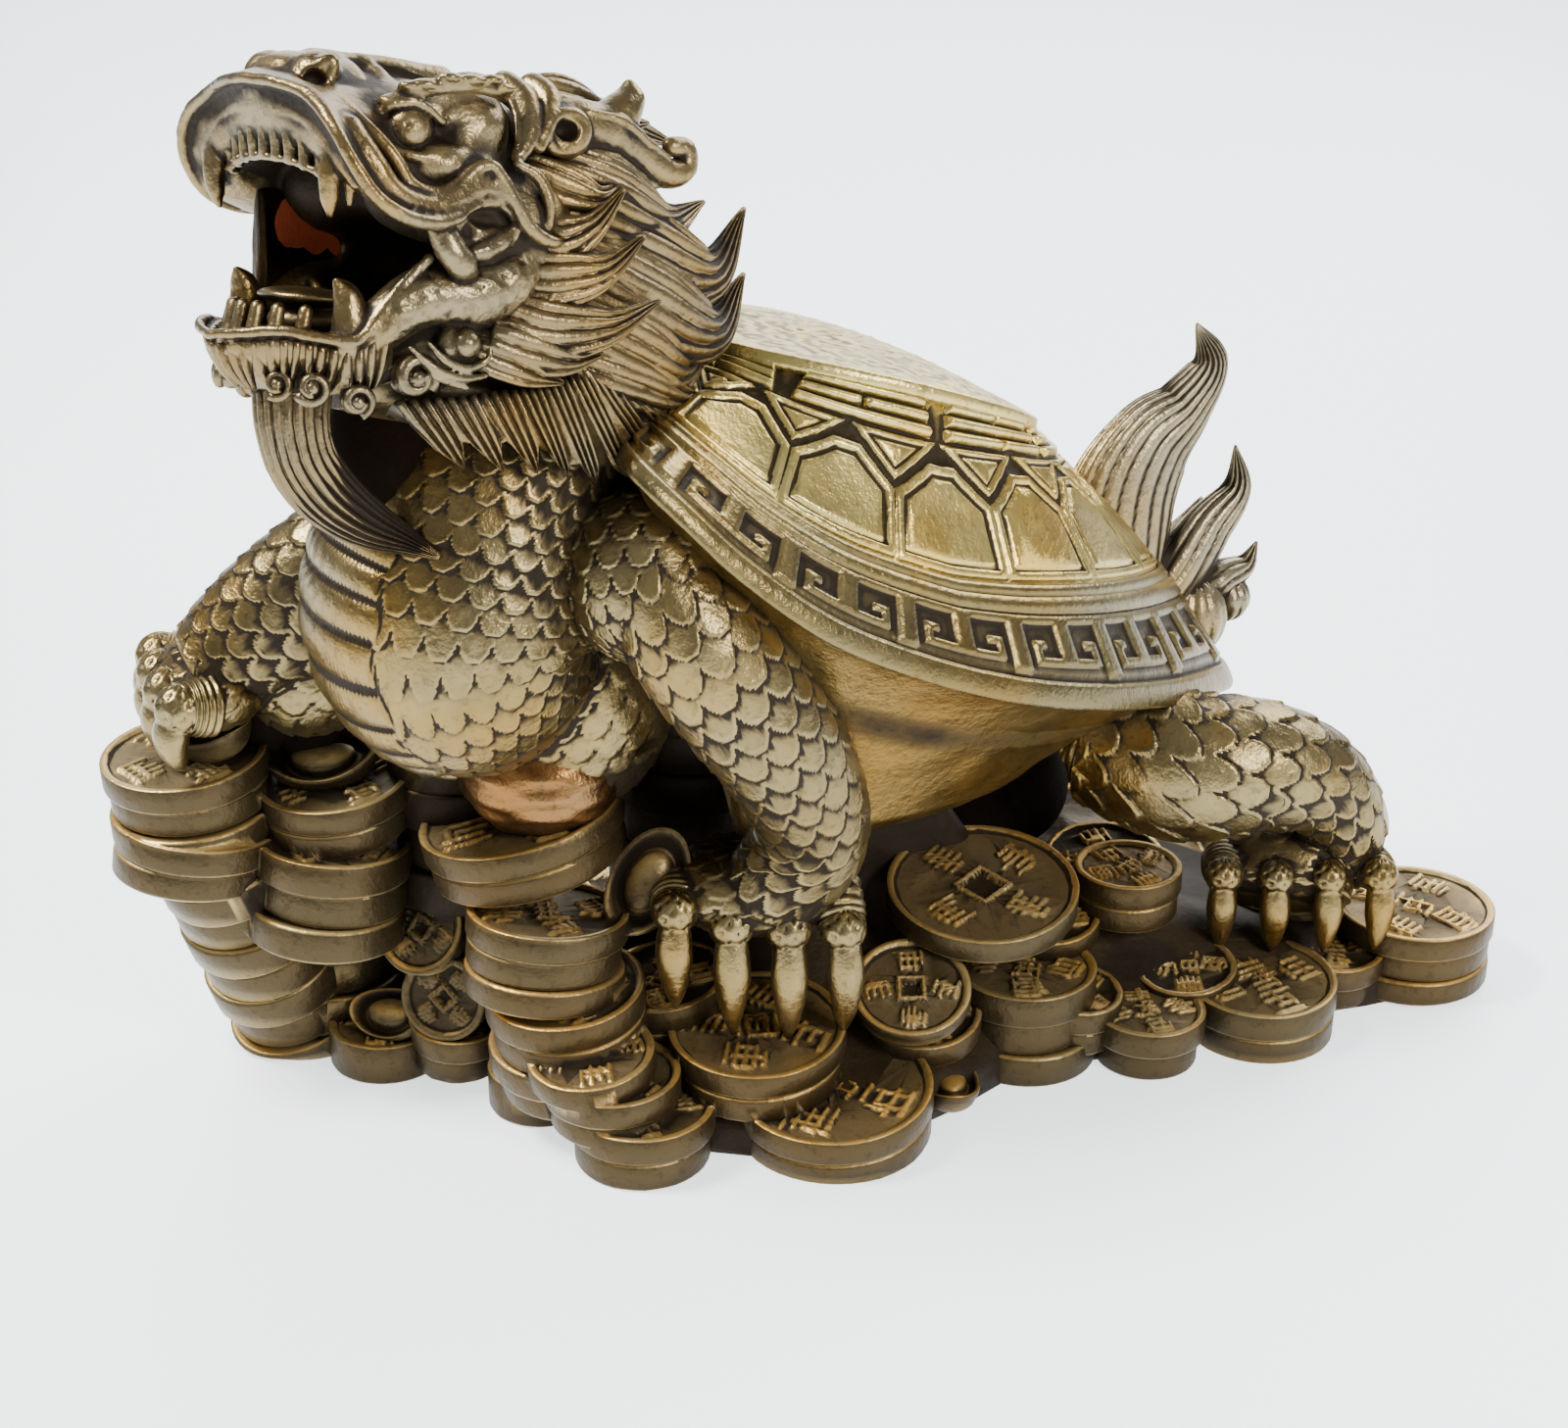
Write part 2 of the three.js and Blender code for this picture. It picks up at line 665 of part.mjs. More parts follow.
// Lip, brow, eye, horn and curls of one side of the face
function faceSide(side) {
  const ridge = (list, sizes, options) => headSweep(
    list.map(([f, s, k]) => [f, s * side, k]),
    sizes,
    options,
  );
  return [
    ridge(
      [[33, 28, 10], [26, 28, 8.5], [20, 27.5, 11.5], [15, 27, 16], [9.5, 27, 15], [8, 26, 9.5]],
      [[2.6, 2.6], [2.6, 2.6], [2.4, 2.4], [2.2, 2.2], [2, 2], [0.8, 0.8]],
      { steps: 8 },
    ),
    ridge(
      [
        [37, 12, 30], [33, 22, 20.5], [26, 25.5, 14.5], [18, 26, 18.5], [12, 27, 22], [5, 27.5, 15.5],
        [0, 27, 9],
      ],
      [[2, 2], [2.2, 2.2], [2.2, 2.2], [2.2, 2.2], [2.4, 2.4], [2.2, 2.2], [0.8, 0.8]],
      { steps: 10 },
    ),
    ridge(
      [[34, 6, 32], [33, 15, 28], [28, 20, 29], [21, 21, 33], [10, 22, 33], [2, 22, 29]],
      [[2.6, 2.6], [3.2, 3], [3.2, 3], [3.2, 2.8], [3, 2.8], [1.6, 1.6]], { steps: 7 },
    ),
    headBall(26.5, 18.5 * side, 24.8, [3.8, 3.6, 3.8]),
    headBall(37.5, 8 * side, 30.5, [4.6, 3.8, 4.2]),
    headBall(18, 20.5 * side, 20, [9, 5.5, 5]),
    ridge(
      [
        [47, 0, -12.5], [45, 9, -10.5], [40, 14.5, -9.5], [34, 18.5, -10.5], [28.8, 20.5, -5.5],
        [22, 21.5, 2.5], [16.5, 23, 5.5],
      ],
      [[1.8, 1.8], [1.9, 1.9], [1.9, 1.9], [1.9, 1.9], [1.9, 1.9], [1.9, 1.9], [1, 1]],
      { steps: 8, sides: 4 },
    ),
    ridge([[-2, 21, 27], [-9, 26, 30], [-19, 29, 33]], [[5, 2.4], [5.5, 2], TIP], { steps: 3 }),
    ridge(
      [[-2, 16, 27], [-14, 18, 25.5], [-25, 18.5, 23], [-33, 18.5, 22.5], [-33, 18.5, 29.5]],
      [[5, 5], [4.6, 4.6], [4, 4], [2.8, 2.8], TIP],
      { steps: 7, up: headFrame.left },
    ),
    ridge(
      [[-17, 18, 25], [-22.5, 18, 29], [-21.5, 18, 35.5]],
      [[3.4, 3.4], [2.8, 2.8], TIP],
      { steps: 3, up: headFrame.left, sides: 4 },
    ),
    ridge(
      [[17, 23.5, 13], [15, 24.5, 6], [16.8, 25, 1.5]],
      [[2.6, 2.4], [2.4, 2.2], [0.4, 0.4]],
      { steps: 3, up: headFrame.left, sides: 4 },
    ),
    headBall(13, 21.5 * side, -10.5, [5, 3.5, 5]),
  ];
}

// Teeth, fangs and tongue
function mouth() {
  const tooth = (root, tip, width) =>
    headSweep(
      [root, tip],
      [[width, width * TOOTH_DEPTH], [width * TOOTH_TIP, width * TOOTH_TIP * TOOTH_DEPTH]],
      { up: headFrame.forward, sides: 4, steps: 1 },
    );
  const fang = (path, width) =>
    headSweep(
      path,
      [[width, width], [width * FANG_MIDDLE, width * FANG_MIDDLE], TIP],
      { up: headFrame.forward, sides: 5, steps: 2 },
    );
  const teeth = [];
  for (let i = 0; i < FRONT_TEETH; i += 1) {
    const s = mix(-FRONT_TEETH_SPAN, FRONT_TEETH_SPAN, i / (FRONT_TEETH - 1));
    const f = 40.5 - FRONT_TEETH_CURVE * s * s;
    teeth.push(tooth([f - 0.5, s, 20.5], [f - 1.2, s, 12.5], 1.9));
    teeth.push(tooth([f + 2, s * 0.9, -14], [f + 1, s * 0.9, -8], 1.8));
  }
  for (const side of [1, -1]) {
    teeth.push(fang([[39, 18.5 * side, 21], [39.5, 18.4 * side, 15], [39, 17.5 * side, 9]], 2.5));
    teeth.push(fang([[35, 15 * side, -12], [35, 15.2 * side, -5.5], [36, 15.2 * side, -0.2]], 2.8));
  }
  const tongue = headSweep(
    [[4, 0, -6], [20, 0, -6.5], [31, 0, -5], [36, 0, -2]],
    [[10, 5], [9, 4.5], [7.5, 2.6], [4, 1.2]],
    { steps: 4, sides: 6 },
  );
  return [...teeth, tongue];
}

// Lock of hair that leaves its root and ends in a point
function lock(root, middle, tip, width, thick, facing = headFrame.left) {
  const sizes = [[width, thick], [width * LOCK_MIDDLE, thick * LOCK_MIDDLE], TIP];
  return sweep([root, middle, tip], sizes, { up: facing, sides: 5, steps: 3 });
}

// Two rows of locks on each side, over a mass of hair behind the head
function mane() {
  const rows = [
    {
      tips: [[-14, 28, 19], [-17, 30, 9], [-22, 28, -3], [-9, 27, -13]],
      roots: [5, 19, 17],
      width: 7,
      thick: 4,
    },
    {
      tips: [[-51, 6, 24], [-53, 13, 12], [-50, 17, 1], [-44, 20, -10], [-37, 20, -20]],
      roots: [-9, 14, 19],
      width: 8.5,
      thick: 6,
    },
  ];
  const locks = rows.flatMap(({ tips, roots, width, thick }) =>
    bothSides((side) =>
      tips.map(([f, s, k], i) => {
        const root = [roots[0], roots[1], roots[2] - i * ROOT_STEP];
        const middle = [
          mix(root[0], f, LOCK_MIDDLE_BACK),
          Math.max(s, root[1]) + LOCK_SWELL,
          mix(root[2], k, LOCK_MIDDLE_DOWN) - LOCK_SAG,
        ];
        const points = [root, middle, [f, s, k]].map((p) => head(p[0], p[1] * side, p[2]));
        return lock(...points, width, thick);
      }),
    ),
  );
  return [
    ...locks,
    headBall(-24, 0, -2, [17, 20, 26], 8, 6),
    lock(head(-10, 0, 30), head(-28, 0, 31), head(-47, 0, 29), 9, 5, headFrame.crown),
  ];
}

// Beard that runs down to the chest, with a ruff of hair under the jaw
function beard() {
  const strand = sweep(
    [
      head(38, 0, -16),
      head(36, 0, -26),
      head(29, 1, -36),
      head(18, 4, -42),
      vec(16, -92, 131),
      vec(22, -84, 127),
    ],
    [[9, 5], [7.5, 5], [6.5, 4.5], [5.5, 4], [4, 3], [0.6, 0.6]],
    { up: headFrame.left, sides: 6, steps: 8 },
  );
  const ruff = bothSides((side) => [
    headSweep(
      [
        [-36, 17 * side, -14], [-18, 22 * side, -19], [2, 20 * side, -23], [18, 12 * side, -24],
        [28, 0, -21],
      ],
      [[10, 5], [11, 5.5], [10, 5.5], [7, 5], [5, 4]],
      { up: headFrame.left.clone().multiplyScalar(side), steps: 6, sides: 6 },
    ),
  ]);
  const curls = [[40, -8, -18.5], [40, 7, -18], [35, 13, -18], [29, 16, -19]];
  return [strand, ...ruff, ...curls.map(([f, s, k]) => headBall(f, s, k, [3.2, 3.2, 3.2]))];
}

// Tail of flames behind the shell
function tail() {
  const flame = (points, sizes, steps) => sweep(
    points.map((p) => vec(...p)),
    sizes,
    { up: vec(1, 0, 0), sides: 6, steps },
  );
  return [
    flame(
      [[0, 74, 72], [0, 72, 92], [0, 75, 106], [0, 82, 117], [0, 90, 124], [0, 96, 133], [0, 92, 142]],
      [[13, 7], [15, 7], [14.5, 6], [11.5, 5], [7.5, 4], [4.6, 2.6], TIP], 9,
    ),
    flame(
      [[2, 84, 80], [2, 96, 95], [2, 104, 104], [2, 103, 114]],
      [[8, 6], [6.4, 4.5], [3.6, 3], TIP], 5,
    ),
    flame([[-4, 84, 80], [-5, 95, 91], [-6, 101, 100]], [[8, 6], [5, 4], TIP], 4),
    flame(
      [[3, 92, 80], [3, 100, 84], [3, 107, 86], [3, 110, 91]],
      [[6, 5], [4.4, 4], [2.8, 2.4], TIP], 4,
    ),
    ball(vec(4, 93, 77), [7, 8, 9], { sides: 6, rows: 5 }),
    ball(vec(2, 103, 79), [6, 5.5, 5.5], { sides: 6, rows: 4 }),
    ball(vec(0, 86, 72), [10, 10, 12], { sides: 8, rows: 5 }),
  ];
}

// Upright turn by facing, then a lean of some degrees towards a compass direction, then a move
function placed([x, y, z], { facing = 0, lean = 0, towards = 0 } = {}) {
  const axis = vec(-Math.sin(radians(towards)), Math.cos(radians(towards)), 0);
  const turn = new THREE.Matrix4().makeRotationZ(radians(facing));
  const tilt = new THREE.Matrix4().makeRotationAxis(axis, radians(lean));
  return new THREE.Matrix4().makeTranslation(x, y, z).multiply(tilt).multiply(turn);
}

// Stack of coins as one solid. Every other coin is a little smaller, and the top one has a raised rim round
// a sunk face. The top face is centred on the given place.
function stack(place, radius, count = 1, { thickness = COIN_THICKNESS, plain = false, ...pose } = {}) {
  const profile = [[0, -thickness * count]];
  for (let i = count - 1; i >= 0; i -= 1) {
    const own = radius - (i % 2) * COIN_STEP;
    profile.push([own, -thickness * (i + 1)], [own, -thickness * i]);
  }
  if (!plain) profile.push([radius - COIN_RIM, -COIN_SUNK]);
  profile.push([0, plain ? 0 : -COIN_SUNK]);
  const geometry = new THREE.LatheGeometry(
    profile.map(([r, h]) => new THREE.Vector2(r, h)),
    plain ? PLAIN_SIDES : COIN_SIDES,
  );
  geometry.rotateX(Math.PI / 2);
  geometry.applyMatrix4(placed(place, pose));
  return solidOf(geometry);
}

// Boat-shaped ingot: an oval dish with upturned ends and a dome standing in it
function ingot(place, length, pose) {
  const rings = INGOT_PROFILE.map(([share, height]) =>
    evenTurns(INGOT_SIDES).map((turn) => {
      const x = share * Math.cos(2 * Math.PI * turn);
      const y = share * Math.sin(2 * Math.PI * turn) * INGOT_WIDTH;
      return vec(x, y, height + INGOT_END_RISE * x * x).multiplyScalar(length);
    }),
  );
  return loft(rings).transform(placed(place, pose).toArray());
}

// Mass of the heap behind the coins, from its outline on the ground up to the belly
function heap() {
  const left = [
    [-48, -98], [-26, -84], [-10, -66], [20, -58], [36, -44], [50, -20], [47, 8], [42, 30], [48, 60],
    [50, 90], [54, 120], [44, 132],
  ];
  const right = [
    [14, 122], [-18, 126], [-42, 122], [-50, 92], [-48, 58], [-44, 26], [-48, -4], [-50, -40],
    [-52, -70], [-54, -92],
  ];
  return loft(HEAP_LEVELS.map(([share, z]) => [...left, ...right].map(([x, y]) => vec(
    x * share - HEAP_SHIFT * (1 - share),
    y * share,
    z,
  ))));
}

// Coins and ingots. Each row is [place of the top face, radius, number of coins, how they stand].
function money() {
  const seen = [
    [[46, 127, 17.4], 17.5, 3],
    [[49, 83, 12.5], 16.5, 2, { thickness: 6.4, lean: 3, towards: -30 }],
    [[48, 55, 12], 12, 2, { thickness: 6 }],
    [[34, 33, 21], 15, 3, { thickness: 7 }],
    [[42, -17, 11.5], 20, 2, { lean: 5, towards: -45 }],
    [[30, -28, 22], 18, 2, { lean: 6, towards: -35 }],
    [[31, -54, 12], 14.5, 2, { thickness: 6 }],
    [[28, -59, 19], 13.6, 2],
    [[27, -63, 24], 12.6, 1, { lean: 8, towards: -60 }],
    [[38, 3, 26], 12.2, 1, { lean: 24, towards: -30, thickness: 4 }],
    [[26, 27, 38], 20, 1, { lean: 10, towards: -25 }],
    [[27, 63, 34], 11.5, 2],
    [[-2, -64, 64], 20.5, 2, { lean: 12, towards: -120 }],
    [[11, -64, 48], 16, 3, { lean: 8, towards: 120 }],
    [[15, -63, 33], 16, 4, { lean: 6, towards: -60, thickness: 6 }],
    [[-28, -93, 67], 15.6, 2, { lean: 5, towards: -70 }],
    [[-25, -95, 55], 16, 3, { lean: 8, towards: 100, thickness: 7 }],
    [[-38, -120, 74], 16.4, 3, { lean: 4, towards: -60 }],
    [[-36, -119, 59], 16, 2, { lean: 10, towards: 100 }],
    [[-36, -115, 52], 14.5, 7, { lean: 22, towards: -58, thickness: 8 }],
    [[-8, -80, 22], 9, 1, { lean: 78, towards: -40, thickness: 4 }],
    [[-14, -82, 36], 9.5, 1, { lean: 60, towards: -50, thickness: 4 }],
    [[4, -64, 9], 11, 1, { thickness: 9 }],
    [[-27, -86, 9], 12, 1, { thickness: 9 }],
  ];
  const hidden = [
    [[-2, 124, 11], 17, 2],
    [[-30, 120, 16], 17, 3],
    [[21, 110, 15], 15, 2, { thickness: 7.5 }],
    [[-49.5, 92, 12.5], 16, 2, { thickness: 6.3 }],
    [[-50, 58, 14], 15, 2, { thickness: 7 }],
    [[-42, 28, 22], 17, 3, { thickness: 7.4 }],
    [[-49, -2, 12], 16, 2, { thickness: 6 }],
    [[-48, -34, 18], 17, 3, { thickness: 6 }],
    [[-49, -66, 17], 17, 3],
    [[-45, -90, 62], 15, 8, { thickness: 8 }],
    [[-22, -68, 84], 15, 9, { thickness: 9 }],
    [[-14, -20, 82], 19, 9, { thickness: 8.8 }],
  ];
  return [
    ...seen.map(([place, radius, count, pose]) => stack(place, radius, count, pose)),
    ...hidden.map(([place, radius, count, pose]) => stack(
      place,
      radius,
      count,
      { plain: true, ...pose },
    )),
    ingot([-23, -86, 12], 9, { facing: 40, lean: 35, towards: -60 }),
    ingot([-36, -115, 78], 11, { facing: 20, lean: 10, towards: -90 }),
    ingot([-30, -94, 69], 12, { facing: 60, lean: 12, towards: -60 }),
    ingot([17, -45, 52], 11.5, { facing: -62, lean: 62, towards: -35 }),
    ingot([46, 8, 5.6], 9, { facing: -28 }),
  ];
}

const PAWS = [
  {
    middle: [24, -25, 50],
    radii: [13, 18, 9],
    facing: -23,
    spacing: 10,
    fan: 6,
    reach: 10,
    claw: 29,
    thick: 4.4,
  },
  {
    middle: [-37, -114, 88],
    radii: [11, 14, 8],
    facing: -98,
    spacing: 7.2,
    fan: 10,
    reach: 8,
    claw: 12,
    thick: 4,
    sides: 5,
  },
  {
    middle: [35, 101, 30],
    radii: [12, 17, 8],
    facing: -28,
    spacing: 10,
    fan: 6,
    reach: 11,
    claw: 17,
    thick: 4.2,
  },
  {
    middle: [-35, 101, 30],
    radii: [12, 17, 8],
    facing: 208,
    spacing: 10,
    fan: 6,
    reach: 11,
    claw: 17,
    thick: 4.2,
    sides: 5,
  },
];

// Cost of moving a vertex off the planes of its faces, kept as the ten sums of a squared distance
function planeSums(face, place) {
  const [a, b, c] = face.map((i) => place[i]);
  const cross = b.clone().sub(a).cross(c.clone().sub(a));
  const area = cross.length();
  const { x, y, z } = cross.normalize();
  const d = -cross.dot(a);
  return [
    x * x, x * y, x * z, x * d, y * y, y * z, y * d, z * z, z * d, d * d,
  ].map((value) => value * area);
}

// Sum of squared distances from a place to the planes
function costAt(q, { x, y, z }) {
  const squares = q[0] * x * x + q[4] * y * y + q[7] * z * z + q[9];
  return squares + 2 * (q[1] * x * y + q[2] * x * z + q[3] * x + q[5] * y * z + q[6] * y + q[8] * z);
}

// Queue that gives the cheapest entry first
function cheapestFirst() {
  const entries = [];
  const swap = (i, j) => ([entries[i], entries[j]] = [entries[j], entries[i]]);
  const push = (entry) => {
    entries.push(entry);
    let i = entries.length - 1;
    while (i > 0 && entries[(i - 1) >> 1].cost > entries[i].cost) {
      swap(i, (i - 1) >> 1);
      i = (i - 1) >> 1;
    }
  };
  const pop = () => {
    const top = entries[0];
    const last = entries.pop();
    if (entries.length === 0) return top;
    entries[0] = last;
    let i = 0;
    for (;;) {
      const children = [2 * i + 1, 2 * i + 2].filter((k) => k < entries.length);
      const least = children.sort((m, n) => entries[m].cost - entries[n].cost)[0];
      if (least === undefined || entries[least].cost >= entries[i].cost) return top;
      swap(i, least);
      i = least;
    }
  };
  return { push, pop, size: () => entries.length };
}

// Closed mesh thinned to a number of triangles: edges are drawn together, the flattest places first, and
// never where that would fold the surface over or pinch it
function thinned(solid, limit) {
  const mesh = solid.getMesh();
  const place = Array.from(
    { length: mesh.numVert },
    (_, i) => vec().fromArray(mesh.vertProperties, i * mesh.numProp),
  );
  const faces = Array.from({ length: mesh.numTri }, (_, i) => [...mesh.triVerts.slice(i * 3, i * 3 + 3)]);
  const facesOf = place.map(() => new Set());
  const sums = place.map(() => new Array(10).fill(0));
  const stamp = new Array(place.length).fill(0);
  faces.forEach((face, i) => {
    const plane = planeSums(face, place);
    for (const corner of face) {
      facesOf[corner].add(i);
      plane.forEach((value, k) => (sums[corner][k] += value));
    }
  });
  const queue = cheapestFirst();
  const neighbours = (a) => new Set([...facesOf[a]].flatMap((i) => faces[i]).filter((b) => b !== a));
  const offer = (a, b) => {
    const both = sums[a].map((value, k) => value + sums[b][k]);
    const spots = [place[a], place[b], place[a].clone().lerp(place[b], 0.5)];
    const costs = spots.map((spot) => costAt(both, spot) + SHORT_EDGE_COST * place[a].distanceTo(place[b]));
    const best = costs.indexOf(Math.min(...costs));
    queue.push({
      cost: costs[best],
      a,
      b,
      spot: spots[best].clone(),
      both,
      stamps: [stamp[a], stamp[b]],
    });
  };
  const folds = (a, b, spot) =>
    [...facesOf[a]].some((i) => {
      if (faces[i].includes(b)) return false;
      const [p, q, r] = faces[i].map((k) => place[k]);
      const [u, v, w] = faces[i].map((k) => (k === a ? spot : place[k]));
      const before = q.clone().sub(p).cross(r.clone().sub(p));
      const after = v.clone().sub(u).cross(w.clone().sub(u));
      const turned = after.dot(before) < FOLD_LIMIT * after.length() * before.length();
      return turned || after.length() < LEAST_AREA;
    });
  faces.forEach(([a, b, c]) => [[a, b], [b, c], [c, a]].forEach(([m, n]) => m < n && offer(m, n)));
  let left = faces.length;
  while (left > limit && queue.size() > 0) {
    const { a, b, spot, both, stamps } = queue.pop();
    if (stamps[0] !== stamp[a] || stamps[1] !== stamp[b]) continue;
    const nearB = neighbours(b);
    const shared = [...neighbours(a)].filter((k) => nearB.has(k));
    if (shared.length !== 2 || folds(a, b, spot) || folds(b, a, spot)) continue;
    for (const i of [...facesOf[b]]) {
      if (faces[i].includes(a)) {
        faces[i].forEach((corner) => facesOf[corner].delete(i));
        faces[i] = [];
        left -= 1;
      } else {
        faces[i] = faces[i].map((corner) => (corner === b ? a : corner));
        facesOf[a].add(i);
      }
    }
    facesOf[b].clear();
    place[a].copy(spot);
    sums[a] = both;
    stamp[a] += 1;
    stamp[b] += 1;
    for (const k of neighbours(a)) offer(a, k);
  }
  return solidFrom(place, faces.flat());
}

// The whole casting
const pieces = [
  heap(),
  ...money(),
  shell(),
  chest(),
  stem(),
  trunk(),
  frontLegLeft(),
  frontLegRight(),
  elbow(),
  ...bothSides(hindLeg),
  ...PAWS.flatMap(paw),
  ...skull(),
  ...bothSides(faceSide),
  ...mouth(),
  ...mane(),
  ...beard(),
  ...tail(),
];

const whole = wasm.Manifold.union(pieces).trimByPlane([0, 0, 1], 0);
const casting = thinned(whole, TRIANGLE_LIMIT).trimByPlane([0, 0, 1], UNDERSIDE_CUT);
const { min, max } = casting.boundingBox();
const scale = FIGURE_LENGTH / (max[1] - min[1]);
const rested = casting.translate([
  -(min[0] + max[0]) / 2,
  -(min[1] + max[1]) / 2,
  -min[2],
]).scale([scale, scale, scale]);

function geometryOf(solid) {
  const mesh = solid.getMesh();
  const geometry = new THREE.BufferGeometry();
  geometry.setAttribute("position", new THREE.BufferAttribute(new Float32Array(mesh.vertProperties), 3));
  geometry.setIndex(new THREE.BufferAttribute(new Uint32Array(mesh.triVerts), 1));
  geometry.computeVertexNormals();
  return geometry;
}

const brass = new THREE.MeshStandardMaterial({ color: 0x8a6f35, roughness: 0.38, metalness: 0.9 });
const figure = new THREE.Mesh(geometryOf(rested), brass);
figure.name = "dragon_turtle_casting";

const root = new THREE.Group();
root.add(figure);

export default root;
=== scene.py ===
import json
import math

import bpy
import numpy as np
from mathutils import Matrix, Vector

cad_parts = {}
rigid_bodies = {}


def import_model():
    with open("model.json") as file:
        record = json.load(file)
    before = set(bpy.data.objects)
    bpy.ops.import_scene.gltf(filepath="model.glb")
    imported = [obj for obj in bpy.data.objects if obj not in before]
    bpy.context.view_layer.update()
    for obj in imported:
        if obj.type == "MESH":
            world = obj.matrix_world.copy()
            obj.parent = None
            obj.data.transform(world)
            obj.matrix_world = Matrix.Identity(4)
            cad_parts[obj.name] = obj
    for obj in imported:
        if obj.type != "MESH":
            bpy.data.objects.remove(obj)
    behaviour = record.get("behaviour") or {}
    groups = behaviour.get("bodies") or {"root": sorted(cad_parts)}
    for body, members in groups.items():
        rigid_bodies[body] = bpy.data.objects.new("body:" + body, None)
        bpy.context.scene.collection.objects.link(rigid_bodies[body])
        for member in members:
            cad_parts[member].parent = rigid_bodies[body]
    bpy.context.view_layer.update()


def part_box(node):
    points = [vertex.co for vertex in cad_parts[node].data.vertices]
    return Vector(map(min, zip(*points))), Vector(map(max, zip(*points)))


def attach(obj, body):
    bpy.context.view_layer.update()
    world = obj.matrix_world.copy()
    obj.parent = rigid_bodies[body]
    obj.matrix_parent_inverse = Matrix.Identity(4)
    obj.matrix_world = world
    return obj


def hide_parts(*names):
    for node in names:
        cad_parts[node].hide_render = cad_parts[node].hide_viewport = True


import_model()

import openvdb
from mathutils import Vector

# The figure is drawn in millimetres, with the head towards -Y and the turtle's left side at +X. DRAWN_MIDDLE
# is the middle of that drawing's underside, and UNIT turns the drawing into the frame's metres.
NODE = "dragon_turtle_casting"
FIGURE_LENGTH = 281.0
DRAWN_MIDDLE = np.array([-0.05, 4.06, 0.05])
CAD_LOW, CAD_HIGH = (np.array(corner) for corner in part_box(NODE))
UNIT = (CAD_HIGH[1] - CAD_LOW[1]) / FIGURE_LENGTH
SEED = 7


def to_scene(points):
    middle = (CAD_LOW + CAD_HIGH) / 2
    base = np.array([middle[0], middle[1], CAD_LOW[2]])
    return (np.asarray(points, float) - DRAWN_MIDDLE) * UNIT + base


# Small maths
HASH_PRIMES = (73856093, 19349663, 83492791, 1274126177)
HASH_MASK = 0xFFFFFF


def unit(v):
    return v / np.maximum(np.linalg.norm(v, axis=-1, keepdims=True), 1e-9)


def ramp(low, high, x):
    t = np.clip((x - low) / (high - low), 0, 1)
    return t * t * (3 - 2 * t)


def mix(a, b, t):
    return a + (b - a) * t


def spline(points, t, closed=False, even=False):
    """Smooth curve through the points at shares t of the way along the list."""
    points = np.asarray(points, float)
    count = len(points) if closed else len(points) - 1
    if closed:
        ring = np.vstack([points[-1:], points, points[:2]])
    else:
        ring = np.vstack([2 * points[0] - points[1], points, 2 * points[-1] - points[-2]])
    x = np.asarray(t, float) * count
    x = x % count if closed else np.clip(x, 0, count)
    i = np.minimum(x.astype(int), count - 1)
    w = (x - i)[..., None]
    p = [ring[i + k] for k in range(4)]
    gap = [np.ones_like(w)] * 3
    if not even:
        gap = [np.maximum(np.linalg.norm(p[k + 1] - p[k], axis=-1, keepdims=True), 1e-4) ** 0.5
               for k in range(3)]
    slope = [(p[k + 1] - p[k]) / gap[k] for k in range(3)]
    start = (slope[0] - (p[2] - p[0]) / (gap[0] + gap[1]) + slope[1]) * gap[1]
    end = (slope[1] - (p[3] - p[1]) / (gap[1] + gap[2]) + slope[2]) * gap[1]
    square, cube = w * w, w * w * w
    rise = p[2] - p[1]
    return p[1] + start * w + (3 * rise - 2 * start - end) * square + (start + end - 2 * rise) * cube


def run_of(path, v):
    """Length along a smooth path up to the shares v, in millimetres."""
    fine = np.linspace(0, 1, 400)
    run = np.concatenate([[0], np.cumsum(np.linalg.norm(np.diff(spline(path, fine), axis=0), axis=1))])
    return np.interp(v, fine, run)


def grain(points, size):
    """Smooth noise from -1 to 1 in space, the same on every run."""
    cell = np.asarray(points) / size
    low = np.floor(cell).astype(np.int64)
    w = cell - low
    w = w * w * (3 - 2 * w)
    total = np.zeros(len(cell))
    for corner in range(8):
        step = np.array([corner & 1, corner >> 1 & 1, corner >> 2 & 1])
        a = low + step
        code = (a[:, 0] * HASH_PRIMES[0]) ^ (a[:, 1] * HASH_PRIMES[1]) ^ (a[:, 2] * HASH_PRIMES[2])
        value = ((code ^ (code >> 13)) * HASH_PRIMES[3] & HASH_MASK) / HASH_MASK * 2 - 1
        total += value * np.prod(np.where(step, w, 1 - w), axis=1)
    return total


# Closed meshes as (corners, triangles)
def outwards(corners, triangles):
    a, b, c = (corners[triangles[:, k]] for k in range(3))
    if np.einsum("ij,ij->i", a, np.cross(b, c)).sum() < 0:
        triangles = triangles[:, ::-1]
    return corners, triangles


def skin(rows):
    """Closed mesh from rings of the same number of points, with a fan over each end."""
    count, around = rows.shape[:2]
    corners = np.vstack([rows.reshape(-1, 3), rows[0].mean(axis=0), rows[-1].mean(axis=0)])
    i, j = np.meshgrid(np.arange(count - 1), np.arange(around), indexing="ij")
    a, b = i * around + j, i * around + (j + 1) % around
    side = np.concatenate([np.stack([a, b, a + around], -1), np.stack([b, b + around, a + around], -1)])
    ring = np.arange(around)
    after = (ring + 1) % around
    last = (count - 1) * around
    near = np.stack([np.full(around, count * around), after, ring], -1)
    far = np.stack([np.full(around, count * around + 1), last + ring, last + after], -1)
    return outwards(corners, np.concatenate([side.reshape(-1, 3), near, far]))


def sheet_normals(rows):
    along = np.gradient(rows, axis=0)
    around = np.roll(rows, -1, axis=1) - np.roll(rows, 1, axis=1)
    normal = unit(np.cross(around, along))
    middle = rows.mean(axis=1, keepdims=True)
    return normal if (normal * (rows - middle)).sum() > 0 else -normal


